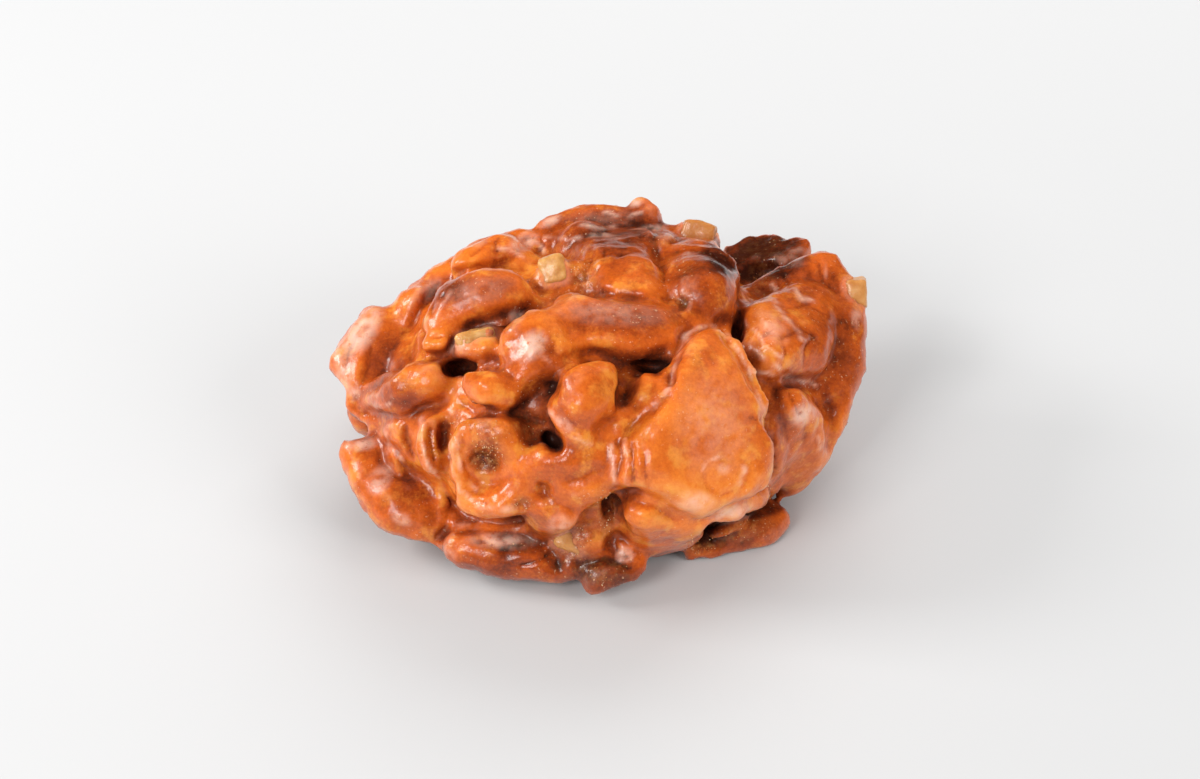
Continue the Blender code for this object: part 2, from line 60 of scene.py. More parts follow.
SIGHT_DEG = 38.0
SIGHT_CENTRE = np.array((0.2, -6.9, 28.0))
EYE_DISTANCE = 678.0
LENS = 85.0
SENSOR = 36.0

# Noise and spots

LATTICE = 256
NOISE_GAIN = 1.7
FOLD_GAIN = 1.6
SPOT_FALL = 1.5

# The rays that find what the eye sees and how open each point lies

SIGHT_START = 0.3
SIGHT_BLUR = 3
OPEN_START = 0.4
OPEN_LEAN = 1.02
OPEN_RAYS = 14
OPEN_REACH = 14.0
OPEN_BLUR = 4

# The crust's mesh

CRUST_VOXEL = 0.77
CRUST_SMOOTHING = 6
SHARPEN = 0.2
SHARPEN_REACH = 22
PIT_SMOOTHING = 60
PIT_DEPTHS = (-8.0, 0.0)
FOOT_HEIGHTS = (1.0, 5.0)
WEB_PLACE = np.array((28.8, -29.6, 4.6))
WEB_SIZE = (7.0, 4.0, 3.6)

# Valleys and wrinkles, with a raised shoulder on both sides

VALLEY_HALF_WIDTH = 0.8
VALLEY_DEPTH = 0.35
VALLEY_SPREAD = 1.6
VALLEY_FALL = 1.6
SHOULDER_PLACE = 2.0
SHOULDER_HEIGHT = 0.2
LINE_END_SLOPE = 6
LINE_END_DEPTH = 0.25
FROM_EYE_SHARE = 0.65

# The uneven skin: sizes and heights, and what share of them the front keeps and the calm spots lose

SWELL_SIZE = 9.0
SWELL_HEIGHT = 0.5
SWELLS_ON_FRONT = 0.4
SWELLS_CALMED = 0.6
FOLD_SIZE = 7.5
FOLD_HEIGHT = 0.6
CREASE_SIZE = 3.6
CREASE_HEIGHT = 0.35
FOLD_MIDDLE = 0.45
FOLDS_ON_FRONT = 0.2
FOLDS_CALMED = 0.85
RIPPLE_SIZE = 2.6
RIPPLE_HEIGHT = 0.14
RIPPLES_CALMED = 0.5
GRIT_SIZE = 1.5
FINE_GRIT_SIZE = 0.9
FINE_GRIT_SHARE = 0.4
GRIT_HEIGHT = 0.06
BARE_GRIT_HEIGHT = 0.5

# How lines and folds wander: size of the noise, and how far

LINE_WANDER = (5.0, 0.5)
FOLD_WANDER = (9.0, 3.0)
STRING_WANDER = (2.6, 0.45)

# Patches: size of the noise, and the values where they begin and are full

BARE_PATCHES = (22.0, 0.35, 0.8)
STRING_PATCHES = (3.0, -0.7, 0.4)
POOL_PATCHES = (2.2, -1.1, 0.3)
RIDGE_PATCHES = (8.0, 0.1, 0.6)

# The milky glaze, which also carries painted highlights and sheen, with more painted highlight on ridges that
# face left

STRING_REACH = 0.9
STRING_FALL = 1.3
STRING_HEIGHT = 0.4
STRING_MILK_AND_HIGHLIGHT = 0.6
MILK_HEIGHT = 0.1
RIDGE_REACH = 9
RIDGE_STEP = (0.05, 0.35)
RIDGE_MILK = 0.10
MORE_RIDGE_MILK_AND_HIGHLIGHT = 0.26
LEFT_HIGHLIGHT_WAY = np.array((-0.75, -0.15, 0.64))
LEFT_HIGHLIGHT_STEP = (0.25, 0.85)

# The glaze that is drawn up round the apples

HUG_MARGIN = 3.0
HUG_REACH = 2.2
HUG_HEIGHT = 0.6
HUG_NOISE_SIZE = 2.4
HUG_UNEVEN = 0.8
RIM_STEP = (0.3, 0.9)
RIM_MILK = 0.15

# How dark the dough is, from 0 to 1: fried tone, darker towards the bottom and where hidden from the front;
# and how hollow it lies, which the colour uses for painted shade: passes of smoothing, and share for each mm

BASE_TONE = 0.42
BROAD_TONE_SIZE = 24.0
BROAD_TONE = 0.16
FINE_TONE_SIZE = 7.0
FINE_TONE = 0.10
LOW_HEIGHTS = (16.0, 2.0)
LOW_TONE = 0.16
HIDDEN_TONE = 0.17
HOLLOW = (8, 2.0)
WIDE_HOLLOW = (45, 0.5)

# Grains of sugar

GRAINS = 900
GRAIN_SIZES = (0.18, 0.45)
GRAIN_STRETCH = (0.65, 1.2)
GRAIN_LIFT = 0.4
GRAIN_BARENESS = 0.15

# The pieces of apple

APPLE_SHRINK = 0.8
APPLE_GROW = 0.15
APPLE_VOXEL = 0.35
APPLE_SMOOTHING = 7
WEAR_SIZE = 4.5
WEAR_DEPTH = 0.5
WEAR_MIDDLE = -0.1
FIBRE_SIZE = 1.2
FIBRE_DEPTH = 0.05
BROWN_REACH = (1.5, 0.3)
BROWN_EDGE = 0.7
BROWN_SPOT_SIZE = 2.0
BROWN_SPOTS = 0.12
PLAIN_APPLE_BROWN = 0.1
APPLE_BROWN = {
    "apple_crown": 0.05,
    "apple_ridge": 0.05,
    "apple_peak": 0.85,
    "apple_right": 0.5,
    "apple_low": 0.45,
}
APPLE_SEEDS_FROM = 20
SEEDS_PER_APPLE = 5

# Colours

MILKY_GLAZE_AND_HIGHLIGHT = (0.94, 0.66, 0.52, 1)
GOLDEN_PATCH = (0.86, 0.38, 0.055, 1)
SUGAR_DUST = (0.92, 0.58, 0.34, 1)
BROWNED_APPLE = (0.46, 0.16, 0.035, 1)
FLOOR_GREY = (0.57, 0.57, 0.57, 1)
WHITE = (1, 1, 1, 1)

# The studio

FLOOR_HALF_SIZE = 3.0
SKY_STRENGTH = 0.42


# Where things are seen

def sight_axes():
    """Right, up and near as seen from the front, as world directions."""
    tilt = math.radians(SIGHT_DEG)
    right = np.array((1.0, 0.0, 0.0))
    up = np.array((0.0, math.sin(tilt), math.cos(tilt)))
    near = np.array((0.0, -math.cos(tilt), math.sin(tilt)))
    return right, up, near


def seen_places(points):
    """Where each point is seen: millimetres to the right and up."""
    right, up, near = sight_axes()
    away = points - SIGHT_CENTRE
    closer = 1 - (away @ near) / EYE_DISTANCE
    return np.stack((away @ right / closer, away @ up / closer), axis=1)


def eye():
    return SIGHT_CENTRE + sight_axes()[2] * EYE_DISTANCE


# Numbers on a mesh

def smooth_step(low, high, values):
    share = np.clip((values - low) / (high - low), 0, 1)
    return share * share * (3 - 2 * share)


def noise_at(points, size, seed):
    """Smooth noise, about -1 to 1, with lumps of this size."""
    rng = np.random.default_rng(seed)
    ways = rng.normal(size=(LATTICE, 3))
    ways /= np.linalg.norm(ways, axis=1, keepdims=True)
    order = rng.permutation(LATTICE)
    spots = points / size
    cell = np.floor(spots).astype(int)
    inside = spots - cell
    fade = inside ** 3 * (inside * (inside * 6 - 15) + 10)
    total = np.zeros(len(points))
    for corner in itertools.product((0, 1), repeat=3):
        x, y, z = ((cell + corner) % LATTICE).T
        way = ways[order[(order[(order[x] + y) % LATTICE] + z) % LATTICE]]
        weight = np.prod(np.where(corner, fade, 1 - fade), axis=1)
        total += weight * ((inside - corner) * way).sum(axis=1)
    return total * NOISE_GAIN


def folds_at(points, size, seed):
    """Noise with sharp creases between round swells, 0 in the creases and about 1 on the swells."""
    return np.abs(noise_at(points, size, seed)) * FOLD_GAIN


def patches_at(points, size, low, high, seed):
    """Patches of this size: 0 where the noise is under the low value, and 1 where it is over the high one."""
    return smooth_step(low, high, noise_at(points, size, seed))


def wander(points, size, reach, seeds):
    """How far each point wanders, one way for each seed, in noise of this size."""
    return np.stack([noise_at(points, size, SEED + i) for i in seeds], axis=1) * reach


class Skin:
    """A mesh's points, normals and edges as arrays, in millimetres."""

    def __init__(self, obj):
        self.mesh = obj.data
        count = len(self.mesh.vertices)
        flat = np.empty(count * 3, np.float32)
        self.mesh.vertices.foreach_get("co", flat)
        self.points = flat.reshape(-1, 3).astype(float) / MM
        ends = np.empty(len(self.mesh.edges) * 2, np.int32)
        self.mesh.edges.foreach_get("vertices", ends)
        self.ends = ends.reshape(-1, 2)
        self.degree = np.bincount(self.ends.ravel(), minlength=count)
        self.faces = [tuple(face.vertices) for face in self.mesh.polygons]
        self.read_normals()

    def read_normals(self):
        flat = np.empty(len(self.points) * 3, np.float32)
        self.mesh.vertices.foreach_get("normal", flat)
        self.normals = flat.reshape(-1, 3).astype(float)

    def write_points(self):
        self.points[:, 2] = np.maximum(self.points[:, 2], 0)
        self.mesh.vertices.foreach_set("co", (self.points * MM).astype(np.float32).ravel())
        self.mesh.update()
        self.read_normals()

    def averaged(self, values, passes):
        """The values, each mixed with its neighbours' so many times."""
        first, second = self.ends.T
        columns = values.reshape(len(values), -1).astype(float)
        for _ in range(passes):
            mixed = np.empty_like(columns)
            for i in range(columns.shape[1]):
                column = columns[:, i]
                from_second = np.bincount(first, column[second], len(column))
                from_first = np.bincount(second, column[first], len(column))
                mixed[:, i] = (column + (from_second + from_first) / self.degree) / 2
            columns = mixed
        return columns.reshape(values.shape)

    def push(self, along, amount):
        self.points += along * amount[:, None]
        self.write_points()

    def hollowness(self, passes):
        """How far each point lies under its smoothed surroundings, in millimetres: positive in valleys."""
        return ((self.averaged(self.points, passes) - self.points) * self.normals).sum(axis=1)

    def tree(self):
        return BVHTree.FromPolygons([Vector(p) for p in self.points], self.faces)

    def in_sight(self, tree):
        """1 where the eye sees the surface, 0 where it doesn't, blurred a little at the edge."""
        seen = np.zeros(len(self.points))
        target = Vector(eye())
        for i, (point, normal) in enumerate(zip(self.points, self.normals)):
            start = Vector(point + normal * SIGHT_START)
            way = target - start
            if way.dot(Vector(normal)) > 0:
                seen[i] = tree.ray_cast(start, way)[0] is None
        return self.averaged(seen, SIGHT_BLUR)

    def openness(self, tree):
        """The share of the sky that each point sees within reach, 0 in a deep gap and 1 on a free face."""
        rng = np.random.default_rng(SEED)
        ways = rng.normal(size=(OPEN_RAYS, 3))
        ways /= np.linalg.norm(ways, axis=1, keepdims=True)
        free = np.zeros(len(self.points))
        for i, (point, normal) in enumerate(zip(self.points, self.normals)):
            start = Vector(point + normal * OPEN_START)
            for way in ways + normal * OPEN_LEAN:
                free[i] += tree.ray_cast(start, Vector(way), OPEN_REACH)[0] is None
        return self.averaged(free / OPEN_RAYS, OPEN_BLUR)

    def attribute(self, name, values):
        layer = self.mesh.attributes.new(name, "FLOAT", "POINT")
        layer.data.foreach_set("value", values.astype(np.float32))


# Shapes drawn on the front

def distance_to_line(places, line):
    """How far each seen place is from a line through some points, and how far along it, from 0 to 1."""
    nearest = np.full(len(places), np.inf)
    share = np.zeros(len(places))
    for i, (start, end) in enumerate(zip(line, line[1:])):
        start, end = np.array(start), np.array(end)
        way = end - start
        along = np.clip((places - start) @ way / (way @ way), 0, 1)
        away = np.linalg.norm(places - start - along[:, None] * way, axis=1)
        closer = away < nearest
        nearest[closer] = away[closer]
        share[closer] = (i + along[closer]) / (len(line) - 1)
    return nearest, share


def in_spot(places, right, up, half_width, half_height, turn_deg):
    """1 in the middle of an egg-shaped spot, falling to 0 at its edge."""
    turn = math.radians(turn_deg)
    away = places - (right, up)
    along = (away[:, 0] * math.cos(turn) + away[:, 1] * math.sin(turn)) / half_width
    across = (away[:, 1] * math.cos(turn) - away[:, 0] * math.sin(turn)) / half_height
    return np.clip(1 - along ** 2 - across ** 2, 0, 1) ** SPOT_FALL


def valleys():
    """The bottoms of the valleys between lumps, which the part's solid has, drawn sharper here."""
    return {
        "flap_top": [(22.5, 15.5), (19.5, 13.0), (17.5, 6.0), (16.5, -1.0)],
        "flap_left": [(16.5, -1.0), (12.0, -5.0), (8.0, -8.0), (4.5, -13.0)],
        "flap_right": [(29.5, 13.5), (34.0, 8.0), (36.5, 2.0), (39.8, -3.0), (41.5, -15.0), (41.5, -22.0)],
        "wing": [(-59.0, -2.5), (-55.0, 0.5), (-50.0, 4.5), (-45.5, 7.5), (-45.5, 12.0)],
        "cushion": [(-59.0, -5.0), (-54.0, -6.5), (-47.0, -7.0), (-42.0, -4.5), (-36.5, -3.0)],
        "pillow_top": [
            (-45.5, 14.5), (-43.0, 19.0), (-38.5, 25.5), (-32.0, 28.8), (-24.0, 29.5), (-17.0, 28.0),
        ],
        "pillow_low": [
            (-42.0, 8.0), (-36.5, 8.0), (-34.0, 13.5), (-28.5, 15.5), (-22.0, 14.5), (-17.0, 19.0),
        ],
        "saddle_top": [(-17.0, 19.0), (-10.0, 22.0), (-4.0, 23.5), (3.0, 23.0), (11.0, 22.0), (17.0, 20.5)],
        "ball": [(15.5, 31.5), (15.5, 26.5), (16.5, 20.5), (21.0, 16.0)],
        "button": [
            (-12.5, -2.0), (-11.0, 3.5), (-6.5, 7.0), (-1.0, 8.6), (5.0, 6.0), (6.2, 0.0), (5.0, -4.0),
        ],
        "cheek": [(-33.0, -3.5), (-29.0, -5.3), (-24.0, -5.5), (-19.0, -6.0), (-13.5, -7.5)],
        "curl_out": [
            (-36.5, -8.0), (-37.8, -14.0), (-37.5, -20.5), (-34.5, -28.5), (-28.0, -32.2), (-20.0, -32.0),
        ],
        "curl_in": [(-33.0, -10.0), (-33.2, -16.0), (-30.5, -21.5), (-25.5, -22.3), (-21.5, -20.5)],
        "foot": [(-60.0, -10.8), (-54.5, -10.8), (-49.0, -14.5), (-45.5, -20.5)],
        "foot_end": [(-38.5, -22.0), (-36.0, -27.0), (-36.5, -33.0), (-40.0, -37.0)],
        "front_foot": [(-35.0, -33.5), (-27.0, -33.8), (-19.0, -34.3), (-12.0, -37.5), (-9.5, -43.5)],
        "chin": [(3.0, -24.0), (3.8, -33.0), (4.2, -38.5)],
        "corner": [(-25.0, 30.0), (-20.5, 31.5), (-16.5, 36.0)],
        "nub": [(15.8, 43.5), (14.8, 39.5), (13.0, 36.0), (14.0, 32.0)],
    }


def wrinkles():
    """Narrow creases within a lump, drawn as valleys are: half width, depth, and the places on the way."""
    return {
        "wing_fold": (0.8, 0.5, [(-61.5, 3.0), (-60.0, 9.0), (-57.5, 13.5)]),
        "shoulder_1": (0.9, 0.8, [(-41.0, 17.0), (-39.5, 21.0), (-37.0, 23.0)]),
        "shoulder_2": (0.8, 0.6, [(-38.0, 22.0), (-36.5, 24.5), (-33.5, 26.0)]),
        "pillow_tip": (0.9, 0.8, [(-42.5, 13.0), (-38.5, 12.0), (-35.0, 13.5)]),
        "corner_1": (0.9, 0.9, [(-31.5, 31.5), (-29.0, 33.5), (-26.5, 36.0)]),
        "corner_2": (0.8, 0.7, [(-24.5, 33.0), (-25.0, 35.5), (-23.5, 37.5)]),
        "brow_ring": (0.8, 0.9, [(-19.5, 33.0), (-18.0, 36.0), (-14.5, 36.5), (-14.0, 33.5), (-17.5, 31.8)]),
        "fore_1": (0.9, 0.6, [(1.0, 35.0), (0.5, 30.5), (-1.5, 27.0)]),
        "saddle_1": (1.0, 0.4, [(-13.0, 19.0), (-10.5, 13.5), (-11.5, 8.0)]),
        "lobe_1": (0.9, 0.9, [(41.0, 21.0), (45.0, 19.5), (50.0, 20.5), (54.0, 18.0)]),
        "lobe_2": (0.9, 0.9, [(37.5, 10.0), (40.0, 13.5), (44.0, 12.5), (48.0, 14.5), (52.5, 12.0)]),
        "lobe_3": (0.8, 0.7, [(43.0, 4.5), (44.5, 8.5), (43.5, 12.5)]),
        "lobe_4": (0.8, 0.8, [(48.5, 5.0), (49.0, 10.0), (51.5, 14.0)]),
        "lobe_5": (0.9, 0.3, [(56.0, 20.0), (56.5, 14.0), (55.0, 8.0), (57.0, 3.0)]),
        "lobe_6": (0.8, 0.8, [(43.5, 28.0), (45.5, 24.5), (48.5, 23.0)]),
        "lobe_7": (0.8, 0.7, [(52.0, 31.0), (53.5, 26.0), (57.0, 23.0)]),
        "fold_1": (0.9, 0.8, [(44.5, 0.5), (46.5, -4.0), (49.5, -7.5), (48.5, -13.0)]),
        "fold_2": (0.8, 0.6, [(50.5, -1.5), (52.5, -7.0), (51.5, -13.5)]),
        "fold_3": (0.8, 0.7, [(43.5, -8.0), (45.5, -14.0), (44.5, -20.0)]),
        "flap_dent": (0.9, 0.6, [(35.5, -6.5), (38.0, -7.5), (39.5, -6.0)]),
        "middle_1": (0.9, 1.0, [(4.0, -11.5), (5.0, -16.0), (4.2, -22.0)]),
        "middle_2": (0.9, 1.1, [(7.2, -12.0), (7.6, -17.0), (8.2, -23.0)]),
        "middle_3": (0.8, 0.7, [(10.5, -14.5), (10.5, -19.5), (12.0, -25.0)]),
        "bump_ring": (1.0, 0.6, [(24.6, -17.5), (25.0, -22.5), (29.0, -25.2), (33.5, -24.2), (35.8, -20.5)]),
        "lip": (0.9, 0.8, [(24.0, -31.5), (30.0, -29.8), (36.0, -26.0), (39.0, -23.0)]),
        "foot_1": (1.0, 0.7, [(-52.0, -12.5), (-52.5, -17.0), (-49.0, -20.5), (-44.0, -22.0)]),
        "web_1": (0.9, 1.0, [(-50.0, -9.0), (-50.5, -13.0), (-48.0, -16.0)]),
        "web_2": (0.9, 1.0, [(-46.5, -8.0), (-46.0, -12.5), (-44.5, -17.0)]),
        "fold_slot": (0.9, 1.3, [(-40.6, -8.5), (-40.2, -13.0), (-39.5, -18.0)]),
        "cushion_1": (0.9, 0.3, [(-52.0, -3.5), (-46.0, -2.5), (-41.0, -1.0)]),
        "curl_1": (0.6, 0.5, [
            (-35.3, -10.0), (-36.0, -16.0), (-34.3, -22.0), (-30.5, -26.5), (-25.0, -28.0),
        ]),
        "curl_2": (0.6, 0.4, [(-34.3, -12.0), (-34.4, -18.0), (-31.5, -24.0), (-27.0, -25.5)]),
        "front_1": (0.9, 0.7, [(-33.0, -36.5), (-28.0, -36.0), (-24.0, -38.0), (-18.0, -37.5)]),
        "front_2": (0.8, 0.6, [(-20.0, -42.0), (-14.0, -40.5), (-10.5, -38.5)]),
        "chin_1": (0.9, 0.6, [(8.0, -27.0), (13.0, -28.0), (19.0, -31.5)]),
        "tip_1": (0.9, 0.8, [(-3.5, -42.0), (1.5, -40.5), (8.0, -43.0)]),
    }


def swells():
    """Bumps, and dents where the height is negative: right, up, half width, half height, turn, height."""
    return {
        "wing_face": (-51.5, 7.5, 4.5, 8.0, -25, 0.8),
        "wing_ridge": (-57.6, 5.0, 2.0, 8.0, -14, 0.9),
        "pillow_crown": (-28.0, 22.5, 8.0, 4.5, 12, 0.6),
        "saddle_knee": (-15.5, 9.0, 3.2, 3.8, 40, 0.7),
        "saddle_hollow": (-4.0, 15.0, 5.0, 3.0, 10, -0.6),
        "button_face": (-3.5, -1.5, 8.5, 8.5, 0, 1.0),
        "ball_dimple": (19.6, 20.5, 2.2, 2.4, 0, -1.6),
        "lobe_knob": (47.0, 26.0, 4.0, 3.5, 30, 0.7),
        "lobe_hollow": (56.5, 26.0, 2.6, 3.6, 20, -1.2),
        "flap_bump": (29.8, -20.0, 5.4, 4.6, 0, 0.3),
        "loop_back": (33.0, -32.5, 10.0, 4.2, 20, 2.4),
        "loop_slot": (27.5, -34.0, 5.0, 3.6, 0, 2.6),
        "flap_hollow": (23.0, -14.0, 7.0, 6.0, 30, -0.5),
        "curl_pit": (-27.5, -17.0, 4.2, 3.6, 0, -0.8),
        "roll_mouth": (-18.5, -27.5, 2.6, 1.8, 10, -1.2),
        "foot_heel": (-46.5, -30.5, 3.4, 2.6, -20, 0.7),
        "front_foot_end": (-31.5, -36.0, 2.6, 2.2, 0, 0.5),
        "front_notch": (-22.5, -38.5, 2.0, 2.6, 0, -0.5),
        "middle_gap_floor": (11.5, 5.6, 5.5, 2.6, -4, 1.4),
        "beside_ball": (16.0, 26.0, 2.8, 9.0, 0, 1.3),
        "beside_nub": (14.5, 36.5, 2.4, 6.0, 0, 0.8),
        "left_of_button": (-13.5, -3.5, 5.5, 4.5, -40, 1.0),
        "above_button": (-6.5, 5.5, 8.0, 3.4, 22, 1.0),
        "beside_button": (6.0, 1.5, 2.6, 5.0, -10, 1.2),
        "under_pillow": (-23.0, 14.5, 6.0, 3.4, 15, 1.6),
        "under_cushion": (-49.0, -6.5, 9.0, 2.4, 5, 0.9),
        "beside_foot": (-37.0, -27.0, 3.0, 6.0, 10, 1.2),
        "over_front_foot": (-25.0, -33.2, 10.0, 2.4, 0, 0.5),
        "low_recess": (3.0, -29.0, 3.4, 5.5, 8, 1.2),
        "beside_tip": (5.5, -37.0, 3.2, 3.4, 0, 1.8),
        "beside_flap": (41.0, -10.0, 2.4, 13.0, 6, 0.9),
        "under_lobe": (40.0, 3.5, 7.0, 2.6, -20, 1.0),
    }


def shallow_pits():
    """Pits drawn up towards their surroundings: right, up, half width, half height, turn, share."""
    return {
        "curl_pit": (-27.5, -16.5, 9.5, 9.0, 0, 1.0),
        "front_valley": (-21.0, -34.5, 15.0, 4.5, -5, 0.8),
        "beside_mess": (-11.0, -39.0, 4.5, 5.5, 0, 0.8),
        "web": (-42.0, -11.0, 5.0, 8.0, 0, 0.6),
        "left_of_button": (-13.0, -2.5, 7.5, 7.0, -40, 0.8),
        "above_button": (-5.0, 7.0, 10.0, 5.0, 15, 0.7),
        "beside_button": (7.0, 2.0, 4.0, 8.0, -10, 0.6),
    }


def rough_spots():
    """Where the crust shows bare and crumbly: right, up, half width, half height, turn, strength."""
    return {
        "curl_pit": (-27.3, -15.5, 6.5, 6.5, 0, 1.0),
        "curl_heart": (-27.0, -9.5, 9.0, 3.6, -8, 0.7),
        "curl_heart_left": (-35.5, -8.0, 3.6, 4.0, 0, 0.6),
        "hole_rim": (-17.0, -8.5, 6.0, 4.5, -25, 0.8),
        "loop_end": (24.5, -37.0, 6.0, 4.0, 10, 1.0),
        "loop": (35.0, -33.0, 9.0, 4.5, 20, 0.6),
        "under_apple": (-4.0, 27.0, 4.6, 5.6, 0, 1.0),
        "brow": (-8.0, 33.0, 5.0, 3.0, 0, 0.5),
        "low_apple": (-6.0, -36.5, 7.5, 6.0, 0, 0.9),
        "recess": (1.5, -29.0, 4.6, 8.5, 0, 0.9),
        "back_crag": (40.0, 33.5, 12.0, 5.5, 0, 0.15),
        "tip": (-1.0, -44.0, 12.0, 5.5, 0, 0.38),
        "chin_spot": (15.0, -29.5, 4.0, 2.6, 0, 0.5),
        "nub_foot": (16.0, 35.5, 5.0, 2.6, 0, 0.45),
        "ball": (19.5, 30.0, 4.0, 3.6, 0, 0.55),
        "ball_foot": (19.5, 21.5, 4.0, 3.0, 0, 0.6),
        "lobe_corner": (38.5, 26.0, 4.0, 6.5, 0, 0.6),
        "lobe_fold": (37.5, 10.0, 2.4, 5.5, 0, 0.45),
        "front_foot_mid": (-18.5, -36.8, 4.0, 3.0, 0, 0.3),
        "saddle_edge": (-9.0, 22.0, 5.0, 2.0, 10, 0.6),
        "roll_mouth": (-18.5, -27.5, 4.0, 3.0, 0, 0.6),
    }


def smooth_spots():
    """Where the dough is stretched smooth: right, up, half width, half height, turn, strength."""
    return {
        "pillow": (-29.0, 21.5, 13.0, 8.0, 12, 1.0),
        "saddle": (0.0, 16.0, 24.0, 8.0, 0, 0.9),
        "flap": (25.0, -5.0, 14.0, 18.0, 0, 0.95),
        "plate": (2.0, 39.0, 16.0, 5.0, 0, 0.8),
        "button": (-3.5, -1.5, 9.0, 9.0, 0, 0.6),
        "cushion": (-46.0, 0.5, 11.0, 6.0, 0, 0.6),
        "foot": (-52.0, -22.0, 9.0, 12.0, 35, 0.6),
        "wing": (-54.0, 8.0, 9.0, 12.0, -20, 0.7),
    }


def milky_and_sheen_spots():
    """Where the glaze has pooled and dried milky, and where highlights and sheen are painted in the same pale
    colour: right, up, half width, half height, turn, strength.
    """
    return {
        # Painted highlights and sheen in the pale colour: wing_ridge, brow_left, brow_top, nub, nub_foot,
        # right_fold, foot_top, foot_side, foot_low, front_foot, flap_glint, flap_haze, pillow_sheen,
        # saddle_sheen and plate_sheen.
        "wing_ridge": (-57.5, 14.0, 4.6, 10.0, -34, 0.85),
        "wing_ear": (-63.0, 9.5, 2.4, 4.0, -10, 0.7),
        "wing_edge": (-58.8, -1.0, 1.8, 2.4, -30, 0.6),
        "wing_low": (-61.5, 3.0, 3.0, 7.0, 5, 0.55),
        "shoulder": (-41.5, 24.0, 5.0, 3.0, 40, 0.35),
        "pillow_sheen": (-29.0, 23.5, 11.0, 4.6, 10, 0.15),
        "corner": (-29.0, 35.5, 3.0, 1.6, 15, 0.5),
        "brow_left": (-18.5, 35.0, 5.0, 2.6, 30, 0.75),
        "brow_top": (-12.0, 40.3, 4.0, 1.5, 22, 0.7),
        "plate_sheen": (0.0, 41.3, 12.0, 2.6, 3, 0.12),
        "nub": (8.0, 45.0, 2.6, 1.8, 0, 0.85),
        "nub_foot": (14.3, 38.0, 2.4, 2.2, 0, 0.45),
        "saddle_left": (-20.0, 17.5, 2.6, 2.0, 20, 0.6),
        "saddle_sheen": (2.0, 18.5, 18.0, 4.0, -4, 0.2),
        "knob": (-16.5, 10.5, 4.0, 5.4, -50, 0.7),
        "apple_ridge": (-33.5, 10.5, 3.5, 1.8, 30, 0.6),
        "lobe_top": (45.0, 31.0, 5.0, 2.0, -10, 0.3),
        "lobe_face": (41.0, 15.0, 6.5, 4.0, -50, 0.35),
        "lobe_rim": (61.5, 17.5, 1.8, 4.0, 5, 0.4),
        "flap_haze": (27.0, -8.0, 12.0, 17.0, 0, 0.18),
        "flap_bead": (20.6, 12.4, 1.5, 1.5, 0, 1.0),
        "flap_pale": (22.7, -27.0, 6.0, 3.4, 0, 0.55),
        "flap_lip": (31.5, -29.6, 7.0, 2.8, 14, 0.85),
        "flap_glint": (29.5, -19.0, 2.4, 2.0, 0, 0.35),
        "right_fold": (48.5, -6.0, 4.2, 3.2, 30, 0.9),
        "loop_rim": (33.0, -40.0, 4.0, 1.2, 5, 0.7),
        "foot_top": (-57.5, -13.0, 5.0, 2.2, 5, 0.75),
        "foot_side": (-52.6, -21.5, 3.2, 5.0, -30, 0.5),
        "foot_low": (-47.5, -31.0, 3.4, 1.8, -25, 0.45),
        "front_foot": (-24.0, -36.3, 10.0, 2.4, -3, 0.6),
        "button_rim": (-9.0, -8.0, 4.0, 1.6, -40, 0.55),
        "mess": (-9.5, -33.0, 4.0, 4.0, 0, 0.55),
        "chin": (6.0, -39.0, 2.2, 2.0, 0, 0.6),
        "curl_arm": (-22.0, -28.6, 3.0, 1.4, 10, 0.4),
    }


